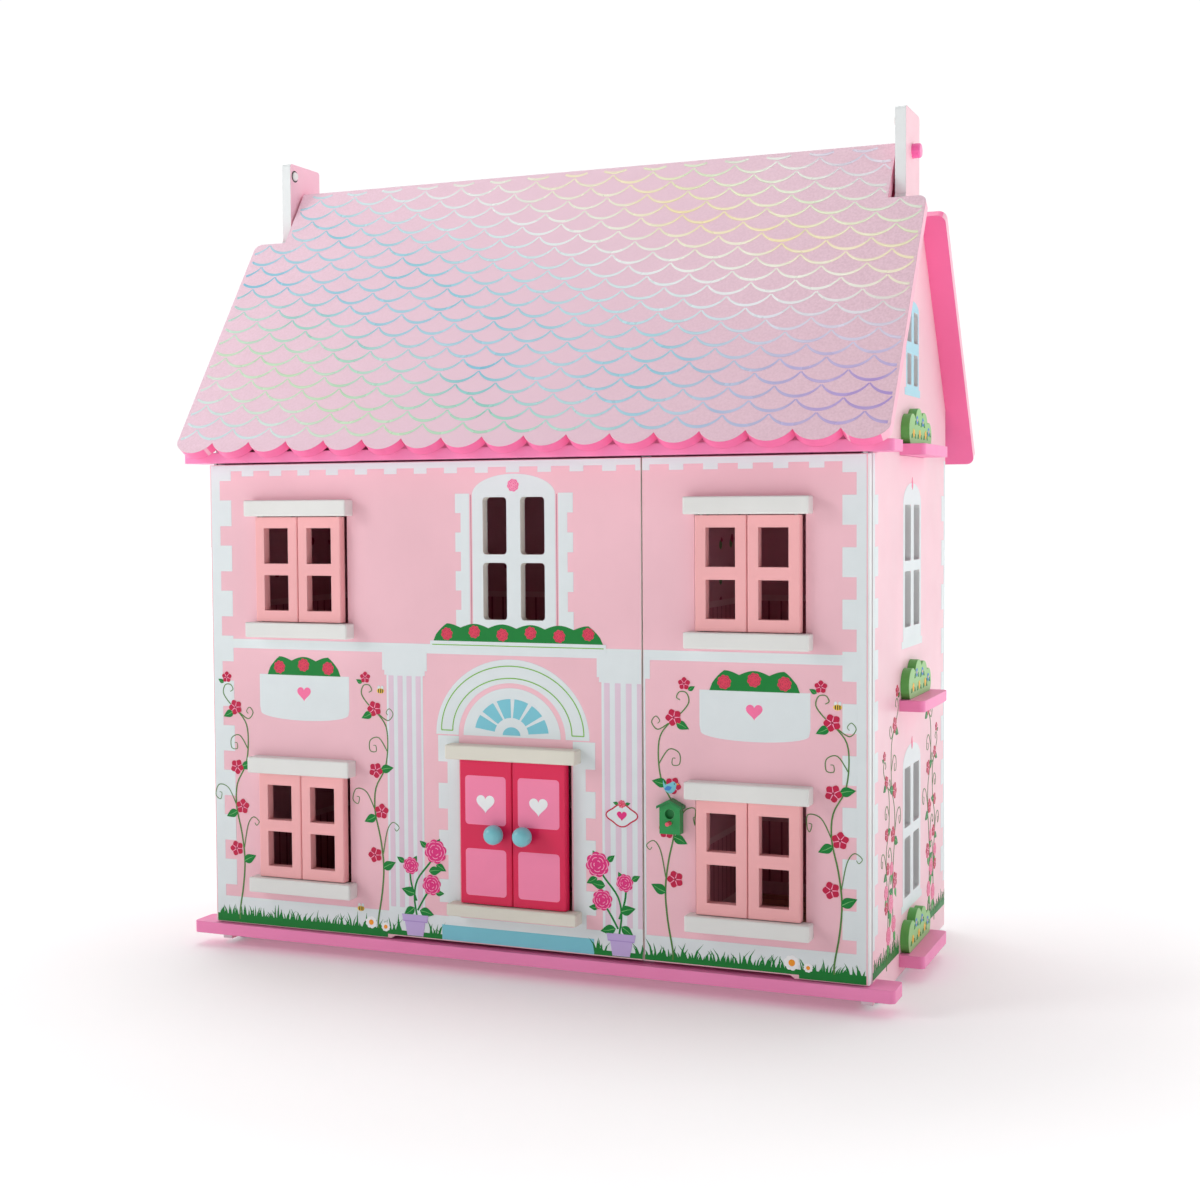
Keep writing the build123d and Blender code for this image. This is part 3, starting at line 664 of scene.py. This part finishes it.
def vine(p, u, v, hand=1, size=1.0, reach=(-400, 400)):
    """A climbing rose from its foot at (u, v). It keeps its curls between the two ends of reach."""
    def at(point):
        return (min(max(u + hand * point[0] * size, reach[0]), reach[1]), v + point[1] * size)
    stem = smooth([at(q) for q in STEM], 4)
    p.stroke(stem, [1.5 - 0.8 * i / len(stem) for i in range(len(stem))], "stem", 3)
    for curl in CURLS:
        line = smooth([at(q) for q in curl], 5)
        p.stroke(line, [0.9 - 0.45 * i / len(line) for i in range(len(line))], "stem", 3)
    for x, z, angle, length in LEAVES:
        leaf(p, *at((x, z)), angle if hand > 0 else 180 - angle, length * size)
    for index, (x, z, radius) in enumerate(BLOSSOMS):
        blossom(p, *at((x, z)), radius * size, turn=0.3 + index * 0.4)


def potted_roses(p, u, v, hand=1):
    """A lilac flowerpot with three pink roses. (u, v) is the pot's foot."""
    def at(x, z):
        return (u + hand * x, v + z)
    for path in ([(2, 18), (0, 33), (3, 48), (14, 62), (20, 70)], [(2, 30), (-3, 45), (-4, 56)],
                 [(3, 22), (10, 34), (16, 42)]):
        p.stroke(smooth([at(*q) for q in path], 4), 1.6, "leaf", 3)
    for x, z, angle, length in (
            (1, 36, 165, 13), (0, 24, 215, 12), (5, 22, -12, 13), (14, 56, 8, 12), (21, 62, -28, 10),
            (20, 76, 60, 9), (12, 76, 140, 8), (-9, 62, 150, 8), (-1, 62, 60, 7), (20, 38, 0, 8)):
        leaf(p, *at(x, z), angle if hand > 0 else 180 - angle, length)
    for x, z, radius in ((20.5, 73, 10.4), (-3, 59.6, 7.4), (16.5, 44.5, 8.8)):
        rose(p, *at(x, z), radius, layer=6)
    p.shape([at(-9.5, 13), at(10, 13), at(8, 0), at(-7, 0)], "pot", 5)
    p.shape([at(-12, 18), at(13, 18), at(12, 12), at(-11, 12)], "pot", 6)
    p.stroke([at(-10.6, 12.3), at(11.6, 12.3)], 0.9, "pot_rim", 7)


def hedge(p, u0, u1, v, height, count):
    """A low hedge with a wavy top and roses in it."""
    steps = count * 10
    top = []
    for i in range(steps + 1):
        t = i / steps
        wave = 0.78 + 0.22 * abs(sin(pi * count * t))
        side = min(1.0, min(t, 1 - t) * steps / 5) ** 0.5
        top.append((u0 + (u1 - u0) * t, v + height * wave * side))
    p.shape([(u0, v)] + top[1:-1] + [(u1, v)], "leaf", 3)
    for i in range(count):
        u = u0 + (u1 - u0) * (i + 0.5) / count
        rose(p, u, v + height * (0.42 + 0.14 * (i % 2)), height * 0.36, "coral", "coral_line", 4)


def grass(p, u0, u1, v, base, gaps=()):
    """Blades of grass along the foot of a wall. base is where its solid strip ends."""
    rng = random.Random(round(u0 * 7 + v))
    p.rect(u0, v, u1, v + base, 1, "grass")
    u = u0 + 1.0
    while u < u1 - 1.5:
        u += rng.uniform(1.1, 2.4)
        if any(a < u < b for a, b in gaps) or u > u1 - 1:
            continue
        tall = rng.uniform(5, 12) * (1.3 if rng.random() < 0.18 else 1.0)
        lean = rng.uniform(-0.6, 0.6) * tall
        wide = rng.uniform(1.8, 3.0)
        foot = v + base * 0.6
        tip = min(max(u + lean, u0 + 0.4), u1 - 0.4)
        p.shape([(u - wide / 2, foot), (u + wide / 2, foot),
                 (u + wide / 4 + lean * 0.35, foot + tall * 0.6), (tip, foot + tall),
                 (u - wide / 4 + lean * 0.3, foot + tall * 0.55)], "grass", 2)


def daisy(p, u, v, radius):
    """A white daisy with an orange middle."""
    for i in range(9):
        a = i * 2 * pi / 9
        cu, cv = u + cos(a) * radius * 0.66, v + sin(a) * radius * 0.66
        p.shape(disc(cu, cv, radius * 0.36, radius * 0.3, 10), "snow", 4)
    p.shape(disc(u, v, radius * 0.42, radius * 0.42, 12), "orange", 5)


def bee(p, u, v):
    """A striped bee with two wings."""
    for du, tilt in ((-0.7, 110), (1.0, 70)):
        a = radians(tilt)
        p.shape(disc(u + du + cos(a) * 2.3, v + 1.2 + sin(a) * 1.6, 1.3, 1.9, 10), "white", 3)
    p.shape(disc(u, v, 3.4, 2.2, 18), "yellow", 4)
    for du in (-1.6, 0.2, 1.9):
        p.stroke([(u + du, v - 1.7), (u + du, v + 1.7)], 0.9, "black", 5)


# ---- Front of the house

QUOIN_STEP = 39.55
QUOIN_FIRST = 56.2  # underside of the lowest quoin block
QUOIN_TALL = 22.6
PLINTH_TOP = 46.0
BAND = (266.0, 274.0)
CORNICE = 420.5
DENTIL_WIDE = 12.0
DENTIL_STEP = 28.3
DENTIL_DROP = 4.6
RECESS = (-121.0, 240.0)  # the finger recess under the panels, with 1 mm to spare
PANEL_FOOT = BOTTOM + 0.6  # lowest ink beside the recess
RECESS_FOOT = BOTTOM + 3.4  # and over it
GRASS_TOP = 7.5  # the solid strip's top, over the panels' lower edge
DOOR_BLOCKS = ((57.5, 77.0), (97.5, 118.5), (136.5, 158.0), (176.0, 198.0))
PILASTER_BLOCKS = ((383, 399), (351, 367), (319, 335), (287, 303))


def quoins(p, edge, inward, narrow, wide, low, high):
    """Corner blocks up one vertical edge. inward is +1 if the wall lies to the edge's right."""
    p.rect(edge, low, edge + inward * narrow, high)
    v = QUOIN_FIRST
    while v < high:
        p.rect(edge + inward * (narrow - 0.5), v, edge + inward * wide, min(v + QUOIN_TALL, high), 1)
        v += QUOIN_STEP


def column(p, u0, u1):
    """A fluted column between the plinth and the band."""
    low, high = PLINTH_TOP, BAND[0]
    p.rect(u0, low - 0.5, u1, high, 1)
    p.rect(u0 - 4, high - 15, u1 + 4, high + 2, 2)
    p.rect(u0 - 2, high - 19, u1 + 2, high - 14.5, 3)
    for i in range(4):
        middle = u0 + (u1 - u0) * (i + 0.5) / 4
        p.rect(middle - 2.4, low + 4, middle + 2.4, high - 19.5, 2, "lilac")


def window_sign(p, middle):
    """A sign over a window, topped by a small hedge."""
    half, top, low = 44.8, 244.0, 210.0
    curve = arc(middle, low + 1, half - 1, 6.5, 180, 360, 16)
    p.shape([(middle - half, top), (middle + half, top), (middle + half, low + 6)] + curve[::-1]
            + [(middle - half, low + 6)], "white", 0)
    p.shape(heart(middle, 228.5, 13.5), "heart", 2)
    hedge(p, middle - 36.5, middle + 36.5, top - 0.2, 16.0, 3)


def foot_spans(u0, u1):
    """A panel's lower edge beside and over the recess: left, right, lowest ink."""
    spans = ((u0, RECESS[0], PANEL_FOOT), (*RECESS, RECESS_FOOT), (RECESS[1], u1, PANEL_FOOT))
    return [(max(a, u0), min(b, u1), low) for a, b, low in spans if max(a, u0) < min(b, u1)]


def front_common(p, u0, u1):
    """Plinth, band and cornice between two edges of a front panel."""
    for a, b, low in foot_spans(u0, u1):
        p.rect(a, low, b, PLINTH_TOP)
    p.rect(u0, BAND[0], u1, BAND[1])
    p.rect(u0, CORNICE, u1, TOP - 0.5)
    half = DENTIL_WIDE / 2
    middle = -255.0
    while middle < 280:
        p.rect(middle - half, CORNICE - DENTIL_DROP, middle + half, CORNICE + 0.5, 1)
        middle += DENTIL_STEP


def front_grass(p, u0, u1, gaps=()):
    for a, b, low in foot_spans(u0, u1):
        if b - a > 4:
            grass(p, a, b, low, GRASS_TOP - (low - BOTTOM), gaps)


def window_frame(p, sizes, key, margin, rise, foot, lift):
    """A frame round four panes: margin beside them, foot under them and an arch over them."""
    width, bar, tall, cross, low = sizes
    inner, out = bar / 2, bar / 2 + width
    upper = low + tall + cross
    half, top = out + margin, upper + tall
    for u0, v0, u1, v1 in ((-half, low - foot, -out, top), (out, low - foot, half, top),
                           (-out, low - foot, out, low), (-out, low + tall, out, upper),
                           (-inner, low, inner, low + tall), (-inner, upper, inner, top)):
        p.rect(u0, v0, u1, v1, 1, key)
    p.shape([(-half, top)] + arc(0, top + lift, half, rise, 180, 0, 20) + [(half, top)], key, 1)


# Pane width, upright bar, pane height, cross bar and the lowest pane's edge
ARCHED_PANES = (21.6, 12.4, 46.9, 6.8, 295.2)
PANE_CORNER = 3.0
LEDGE = 277.0


def arched_window(p):
    """White frame round the four cut panes, with side pilasters, a hedge and a ledge."""
    wide, bar, tall, cross, low = ARCHED_PANES
    window_frame(p, ARCHED_PANES, "white", 9.6, 17.0, low - LEDGE, 2)
    for u0 in (-bar / 2 - wide, bar / 2):
        for v0 in (low, low + tall + cross):
            for cu, su in ((u0, PANE_CORNER), (u0 + wide, -PANE_CORNER)):
                for cv, sv in ((v0, PANE_CORNER), (v0 + tall, -PANE_CORNER)):
                    quarter = arc(0, 0, 1, 1, 0, 90, 4)
                    p.shape([(cu, cv)] + [(cu + su * (1 - a), cv + sv * (1 - b)) for a, b in quarter],
                            "white", 1)
    for hand in (-1, 1):
        p.rect(hand * 40.0, LEDGE, hand * 48.0, 399, 1)
        for v0, v1 in PILASTER_BLOCKS:
            p.rect(hand * 47.5, v0, hand * 53.0, v1, 2)
        p.stroke([(hand * 38.6, LEDGE + 2), (hand * 38.6, 398)], 0.5, "line", 2)
    rose(p, 0, 405.4, 5.4, "pink", "rose", 3)
    hedge(p, -74.5, 78.5, LEDGE - 0.4, 15.0, 6)
    p.rect(-77.5, 269.6, 81, LEDGE, 4)
    p.stroke([(-75.5, 273.8), (79, 273.8)], 0.8, "lime", 5)


def door_surround(p):
    """Blocks beside the door, the arch over it with its fanlight, and the step."""
    middle, foot = -3.2, 199.0
    sill = foot + 1.5
    for hand in (-1, 1):
        p.rect(hand * 51.5, PLINTH_TOP - 1, hand * 62.5, 198, 1)
        for v0, v1 in DOOR_BLOCKS:
            p.rect(hand * 62, v0, hand * 71, v1, 2)
    outer = arc(middle, foot, 69.4, 64.0, 0, 180, 36)
    p.shape(outer + arc(middle, foot, 48.5, 44.5, 180, 0, 30), "white", 1)
    p.shape(arc(middle, foot, 44.0, 40.5, 0, 180, 30), "white", 1)
    for ru, rv in ((64.5, 55.0), (54.0, 45.0)):
        p.stroke(arc(middle, foot + 3.5, ru, rv, 0, 180, 40), 0.9, "lime", 3)
    for hand in (-1, 1):
        p.stroke([(middle + hand * u, foot + 3.5) for u in (54.0, 64.5)], 0.9, "lime", 3)
    for i in range(6):
        start = 6 + i * 28.4
        end = start + 22
        outer = arc(middle, sill, 33.5, 30.0, start, end, 6)
        p.shape(outer + arc(middle, sill, 15.5, 14.5, end, start, 4), "turquoise", 3)
    p.shape(arc(middle, sill, 8.0, 6.8, 0, 180, 14), "turquoise", 3)
    p.rect(-69, RECESS_FOOT, 69, 38.5, 2, "turquoise")


def plaque(p, u, v):
    """A small framed sign with a heart and a rose on top."""
    edge = [(u + (12.4 + 1.2 * cos(4 * t)) * cos(t), v + (8.2 + 0.9 * cos(4 * t)) * sin(t))
            for t in (2 * pi * i / 40 for i in range(40))]
    p.shape(edge, "white", 4)
    p.stroke(edge, 1.1, "crimson", 5, closed=True)
    p.shape(heart(u, v, 8.5), "rose", 6)
    rose(p, u, v + 9.2, 3.3, "coral", "rose_line", 6)
    for hand in (-1, 1):
        leaf(p, u + hand * 3, v + 9, 90 - hand * 75, 4.5, layer=5)


def bird(p, u, v):
    """A small bird over the birdhouse, in front of the vine."""
    body = [(5, 3.4), (2.4, 5.4), (-0.6, 4), (-4.6, 2.5), (-6.4, 6), (-5.6, -1), (-1, -4.4),
            (3.4, -2), (5, 3.4)]
    wing = [(1, 1), (-3, 1.4), (-5, -1.4), (-1, -2), (1, 1)]
    for points, key, layer in ((smooth(body, 3), "turquoise", 8), (smooth(wing, 3), "blue", 9),
                               ([(4.9, 4.2), (7.6, 3.2), (5, 2.6)], "orange", 9),
                               (disc(3.2, 3.4, 0.5, 0.5, 6), "black", 10)):
        p.shape([(u + a, v + b) for a, b in points], key, layer)


def front_print(hand, left, right):
    return Print(f"print_front_{hand}", f"{hand}_panel", "printed_front_panel", (0, FACE_Y, 0),
                 clip=(left, right))


def print_left_panel():
    p = front_print("left", PANEL_LOW.x + 2.2, PANEL_HIGH.x - 0.3)
    front_common(p, *p.clip)
    quoins(p, p.clip[0], 1, 8.8, 20.5, PLINTH_TOP - 1, TOP - 0.5)
    column(p, -119.5, -85.0)
    column(p, 76.8, SPLIT + 2.4)
    arched_window(p)
    door_surround(p)
    window_sign(p, -200.8)
    front_grass(p, *p.clip, gaps=((-70, 70), (-107, -82), (80, 106)))
    vine(p, -269.5, 34)
    vine(p, -130, 38)
    potted_roses(p, -95, BOTTOM + 4.0)
    potted_roses(p, 93, BOTTOM + 4.0, -1)
    daisy(p, -137, 34.5, 5.6)
    daisy(p, -123, 31.8, 4.2)
    bee(p, -125.5, 233)
    bee(p, -147, 45.5)
    plaque(p, 93.8, 140.5)
    p.done()


def print_right_panel():
    p = front_print("right", RIGHT_LOW.x + 0.3, RIGHT_HIGH.x - 2.2)
    front_common(p, *p.clip)
    quoins(p, p.clip[1], -1, 7.6, 18.5, PLINTH_TOP - 1, TOP - 0.5)
    p.rect(p.clip[0], BAND[0] - 15, SPLIT + 6.4, BAND[0] + 2, 2)
    p.rect(p.clip[0], PLINTH_TOP - 0.5, SPLIT + 2.4, BAND[0], 1)
    window_sign(p, 204.5)
    front_grass(p, *p.clip)
    vine(p, 136.5, 36, -1, 1.03, reach=(RIGHT_LOW.x + 1, 155.5))
    vine(p, 268, 37, 1, 1.03, reach=(246.5, SIDE - 1))
    daisy(p, 234.3, 34.8, 6.4)
    daisy(p, 247.3, 32.0, 3.8)
    bee(p, 270.5, 234)
    bird(p, 135.6, 165)
    p.done()


# ---- Sides

# Each window: its panes as above, then ink, frame's margin, arch's rise and apron's depth
SIDE_WINDOWS = (
    ((22.6, 11.0, 49.5, 8.5, 63.5), "white", 6.0, 17.0, 6.0),
    ((22.6, 11.0, 46.0, 8.5, 287.0), "white", 6.0, 17.0, 12.0),
    ((15.6, 9.0, 25.5, 9.5, 486.0), "sky", 4.0, 8.0, 4.0),
)
SIDE_ROSES = ((2, 52, 7), (12, 70, 8), (20, 46, 7.5), (-2, 86, 6.5), (9, 98, 5.5), (28, 82, 6))


def side_window(p, sizes, key, margin, rise, foot, is_open):
    """A printed frame round four cut panes or over four printed ones."""
    width, bar, tall, cross, low = sizes
    out = bar / 2 + width
    if not is_open:
        p.rect(-out - 1, low - 1, out + 1, low + 2 * tall + cross + 1, 0, "glass")
    window_frame(p, sizes, key, margin, rise, foot, 1)
    half = out + margin + 5
    p.rect(-half, low - foot - 5, half, low - foot + 1, 2, key)


def side_print(hand, side):
    p = Print(f"print_side_{hand}", "house", "printed_side_wall", (side * SIDE, 0, 0), (0, side, 0))
    back = WALL_HIGH.y
    for edge, inward in ((-back, 1), (back, -1)):
        p.rect(edge + inward * 0.3, PLINTH_TOP, edge + inward * 6.7, ATTIC_CEILING - 1)
        v = QUOIN_FIRST
        while v < ATTIC_CEILING - QUOIN_TALL - 6:
            p.rect(edge + inward * 6.5, v, edge + inward * 17, v + QUOIN_TALL, 1)
            v += QUOIN_STEP
    for window in SIDE_WINDOWS:
        side_window(p, *window, is_open=side > 0)
    for v in (186.0, 402.0):
        drop = [(0, v + 8.5), (2.6, v + 2), (0, v - 2), (-2.6, v + 2), (0, v + 8.5)]
        p.shape(smooth(drop, 4), "pale_rose", 3)
    for hand_u in (-1, 1):
        u = 66 * hand_u
        vine(p, u, 32, hand_u)
        vine(p, u + 26 * hand_u, 26, -hand_u, 0.8)
        for du, v, r in SIDE_ROSES:
            rose(p, u + du * hand_u, v, r, "pale_rose", "rose_line", 4)
            leaf(p, u + du * hand_u, v - r * 0.8, 250 if du > 8 else 300, r * 1.5, "pale_leaf", layer=3)
    for a, b in ((-back + 0.5, -48.5), (48.5, back - 0.5)):
        grass(p, a, b, WALL_LOW.z + 19, 6.0)
    p.done()


def back_print():
    """The back of the house repeats the plinth, quoins, band and grass."""
    p = Print("print_back", "house", "printed_back_wall", (0, BACK_OUT, 0), (-1, 0, 0),
              clip=(-INSIDE + 0.3, INSIDE - 0.3))
    left, right = p.clip
    low, high = GROUND_FLOOR + 0.5, extent("back_wall")[1].z - 0.5
    p.rect(left, low, right, PLINTH_TOP)
    p.rect(left, BAND[0], right, BAND[1])
    p.rect(left, high - 6, right, high)
    quoins(p, left, 1, 8, 19, PLINTH_TOP - 1, high)
    quoins(p, right, -1, 8, 19, PLINTH_TOP - 1, high)
    grass(p, left, right, low, 7.0)
    for middle in (-190, 0, 190):
        for hand in (-1, 1):
            vine(p, middle + 55 * hand, 34, hand)
        for foot in (84, 296):
            p.shape(round_rect(middle - 34, foot, middle + 34, foot + 92, 4), "white", 1)
            for a in (middle - 28, middle + 3):
                for v in (foot + 6, foot + 48):
                    p.shape(round_rect(a, v, a + 25, v + 38, 2.5), "sky", 2)
            hedge(p, middle - 36, middle + 36, foot - 10, 13, 3)
    p.done()


# ---- Roof scales

SCALE_PITCH = 2 * ROOF_HALF / 17
SCALE_ROW = 13.25
SCALE_ROWS = 23
SCALE_SAG = 10.8
SCALE_LOWEST = 283.0  # down the slope, to the lowest row
SCALE_SHIFT = (16.1, -1.9)  # sideways, of even and odd rows
SCALE_POINTS = 15
CRESCENT = (1.2, 1.5)  # width at its tips, and how much more at its middle
ROOF_MARGIN = 1.8  # bare at the roof's side edges


def roof_scales(name, body, slot, side, top):
    """Rows of foil crescents, each half a scale along from the next. top is where they start."""
    slope = (0, side * -cos(ROOF_PITCH), sin(ROOF_PITCH))
    normal = Vector((0, side * sin(ROOF_PITCH), cos(ROOF_PITCH)))
    p = Print(name, body, slot, Vector((0, 0, RIDGE)) + normal * ROOF_THICKNESS, (-side, 0, 0), slope)
    half = SCALE_PITCH / 2
    radius = (half ** 2 + SCALE_SAG ** 2) / (2 * SCALE_SAG)
    for row in range(SCALE_ROWS):
        bottom = SCALE_LOWEST - row * SCALE_ROW
        for index in range(-9, 10):
            middle = SCALE_SHIFT[row % 2] + index * SCALE_PITCH
            points, widths = [], []
            for i in range(SCALE_POINTS):
                t = i / (SCALE_POINTS - 1) * 2 - 1
                u = middle + t * (half - 0.3)
                d = bottom - radius + (radius ** 2 - (u - middle) ** 2) ** 0.5
                limit = (ROOF_NARROW if d < ROOF_NOTCH + 1.5 else ROOF_HALF) - ROOF_MARGIN
                if abs(u) <= limit and d > top:
                    points.append((u, -d))
                    widths.append(CRESCENT[0] + CRESCENT[1] * (1 - t * t))
            if len(points) > 2:
                p.stroke(points, widths, "foil", 1)
    p.done()


# ---- Door leaves and bushes

def door_prints():
    """Lighter insets and hearts on the door leaves."""
    for hand in ("left", "right"):
        low, high = extent(f"door_leaf_{hand}")
        middle = (low.x + high.x) / 2
        p = Print(f"print_door_{hand}", f"door_{hand}", "crimson_door", (0, low.y, 0))
        for v0, v1 in ((low.z + 7, low.z + 46), (low.z + 66, low.z + 106.5)):
            p.shape(round_rect(middle - 18.5, v0, middle + 18.5, v1, 3), "inset", 0)
        p.shape(heart(middle, low.z + 84.5, 16.5), "snow", 2)
        p.done()


def bush_flowers():
    """Blue and yellow flowers on the bushes' outer faces."""
    spots = ((-27, 9, 0), (-14, 20, 1), (-4, 9, 0), (8, 19, 1), (19, 9, 0), (31, 12, 1))
    for storey in ("ground", "first", "attic"):
        for hand, side in HANDS:
            low, high = extent(f"{storey}_bush_{hand}")
            face = high.x if side > 0 else low.x
            origin = (face, 0, low.z)
            p = Print(f"print_{storey}_bush_{hand}", "house", "green_bush", origin, (0, side, 0))
            for u, v, is_blue in spots:
                petals, eye = ("blue", "yellow") if is_blue else ("yellow", "orange")
                for i in range(5):
                    a = i * 2 * pi / 5 + u
                    p.shape(disc(u + cos(a) * 2.2, v + sin(a) * 2.2, 1.6, 1.6, 10), petals, 2)
                p.shape(disc(u, v, 1.3, 1.3, 10), eye, 3)
                leaf(p, u + 3.4, v - 1, -30, 6, layer=1)
                leaf(p, u - 3.4, v - 1, 210, 6, layer=1)
            p.done()


def stud_rings():
    """A dark rim round each catch stud."""
    low, high = extent("roof_catch_studs")
    centre = (low + high) / 2
    for hand, side in HANDS:
        p = Print(f"ring_{hand}", "house", "white_plastic_stud", (side * INSIDE, 0, 0), (0, -side, 0))
        p.stroke(disc(-side * centre.y, centre.z, 4.7, 4.7, 24), 1.3, "black", 2, closed=True)
        p.done()


# ---- Room floors

def floor_sheet(name, outline, z, key):
    """A printed sheet glued on a floor board."""
    p = Print(name, "house", "pink_board_edges", (0, 0, z), v=(0, 1, 0))
    p.shape(outline, key, 1)
    p.done()


def room_floors():
    """Sheets cut round the partitions and the stairs."""
    edge = INSIDE - 0.5
    front, back = WALL_LOW.y + 1, BACK_IN - 0.5
    part_low, part_high = extent("ground_partition")
    stair_low, stair_high = extent("lower_stair_stringers")
    stair_left, stair_right, stair_front = stair_low.x - 1, stair_high.x + 1, stair_low.y - 3
    left, right = part_low.x - 0.4, part_high.x + 0.4
    for storey, z, key in (("ground", GROUND_FLOOR, "oak"), ("first", FIRST_FLOOR, "birch"),
                           ("attic", ATTIC_FLOOR, "oak")):
        end = edge if storey == "attic" else left
        outline = [(-edge, front), (end, front)]
        if storey == "ground":
            outline += [(end, stair_front)]
        else:
            outline += [(end, back), (stair_right, back), (stair_right, stair_front)]
        outline += [(stair_left, stair_front), (stair_left, back), (-edge, back)]
        floor_sheet(f"floor_print_{storey}_left", outline, z, key)
        if storey != "attic":
            corners = [(right, front), (edge, front), (edge, back), (right, back)]
            floor_sheet(f"floor_print_{storey}_right", corners, z, key)


# ---- Camera, light and ground

CAMERA_PLACE = (0.6024, -1.4230, 0.3860)
CAMERA_TURN = (22.40, 2.545, -0.367)  # yaw, pitch down and roll, in degrees
CAMERA_LENS = 51.77
CAMERA_SHIFT = (-0.00136, -0.01234)
# Strength of the sky along an axis: from, to, strength there and there
SKY_BACK = (-0.5, 0.35, 0.16, 1.03)
SKY_HORIZON = (0.02, 0.30, 0.85, 0.0)
# Each soft box: place, target, size in metres and watts
SOFT_BOXES = {
    "key": ((-2.0, -1.5, 1.2), (0, 0, 0.35), (0.9, 0.9), 19),
    "side": ((2.4, -0.1, 1.3), (0.2, 0, 0.35), (1.2, 1.4), 5),
    "top": ((-0.3, 0.5, 3.0), (0, 0, 0.4), (1.6, 1.6), 24),
}
FLOOR_GLOW = (0.5, 2.0, 0.14, 0.8)  # from and to this far from the house, and its strengths
FLOOR_REACH = 14.0


def camera():
    """Set to the photograph's viewpoint."""
    yaw, pitch, roll = [radians(angle) for angle in CAMERA_TURN]
    ahead = Vector((-sin(yaw) * cos(pitch), cos(yaw) * cos(pitch), -sin(pitch)))
    level = Vector((cos(yaw), sin(yaw), 0))
    up = level.cross(ahead)
    right = cos(roll) * level + sin(roll) * up
    up = cos(roll) * up - sin(roll) * level
    turn = Matrix((right, up, -ahead)).transposed()
    data = bpy.data.cameras.new("camera")
    data.lens = CAMERA_LENS
    data.sensor_width = 36.0
    data.shift_x, data.shift_y = CAMERA_SHIFT
    view = add_object("camera", data)
    view.matrix_world = Matrix.Translation(CAMERA_PLACE) @ turn.to_4x4()
    bpy.context.scene.camera = view


def softbox(name, place, target, size, watts):
    """A rectangular lamp that looks from its place to its target."""
    data = bpy.data.lights.new(name, "AREA")
    data.shape = "RECTANGLE"
    data.size, data.size_y = size
    data.energy = watts
    light = add_object(name, data)
    light.location = place
    light.rotation_euler = (Vector(target) - Vector(place)).to_track_quat("-Z", "Y").to_euler()


def sky():
    """White, brighter behind the house and at the horizon."""
    world = bpy.data.worlds.new("studio")
    world.use_nodes = True
    nodes, links = world.node_tree.nodes, world.node_tree.links
    split = nodes.new("ShaderNodeSeparateXYZ")
    links.new(nodes.new("ShaderNodeTexCoord").outputs["Generated"], split.inputs[0])
    most = nodes.new("ShaderNodeMath")
    most.operation = "MAXIMUM"
    for axis, spans, socket in zip("YZ", (SKY_BACK, SKY_HORIZON), most.inputs):
        fade = nodes.new("ShaderNodeMapRange")
        links.new(split.outputs[axis], fade.inputs["Value"])
        for key, value in zip(RANGE_SOCKETS, spans):
            fade.inputs[key].default_value = value
        links.new(fade.outputs[0], socket)
    links.new(most.outputs[0], nodes["Background"].inputs["Strength"])
    nodes["Background"].inputs["Color"].default_value = (1, 1, 1, 1)
    bpy.context.scene.world = world


def ground():
    """A pale floor that glows with painted light, more strongly away from the house, so that it meets
    the white sky softly.
    """
    tree = Tree("floor_white")
    tone = tree.mix(tree.noise(1.5, 3), (0.88, 0.88, 0.88, 1), (0.91, 0.91, 0.91, 1))
    axes = tree.axes()
    squares = [tree.math("POWER", axes[key], 2.0) for key in "XY"]
    away = tree.math("SQRT", tree.math("ADD", *squares))
    # painted light: the floor's own glow, growing with distance from the house
    tree.gloss("Emission Color", (1, 1, 1, 1))
    tree.put(tree.shader, "Emission Strength", tree.fit(away, *FLOOR_GLOW))
    tree.finish(tone, 0.75, peel=0.02)
    mesh = bpy.data.meshes.new("studio_floor")
    corners = [(x * FLOOR_REACH, y * FLOOR_REACH, 0) for x, y in ((-1, -1), (1, -1), (1, 1), (-1, 1))]
    mesh.from_pydata(corners, [], [(0, 1, 2, 3)])
    mesh.materials.append(tree.material)
    add_object("studio_floor", mesh)


bpy.context.scene.view_settings.view_transform = "Standard"
camera()
sky()
for box_name, setting in SOFT_BOXES.items():
    softbox(box_name, *setting)
ground()
dress_boards()
dress_whole()
print_left_panel()
print_right_panel()
for wall in HANDS:
    side_print(*wall)
back_print()
roof_scales("foil_front", "roof", "foil_scale_tiles", -1, 0.5)
roof_scales("foil_back", "house", "back_roof_tiles", 1, 5.5)
door_prints()
bush_flowers()
stud_rings()
room_floors()
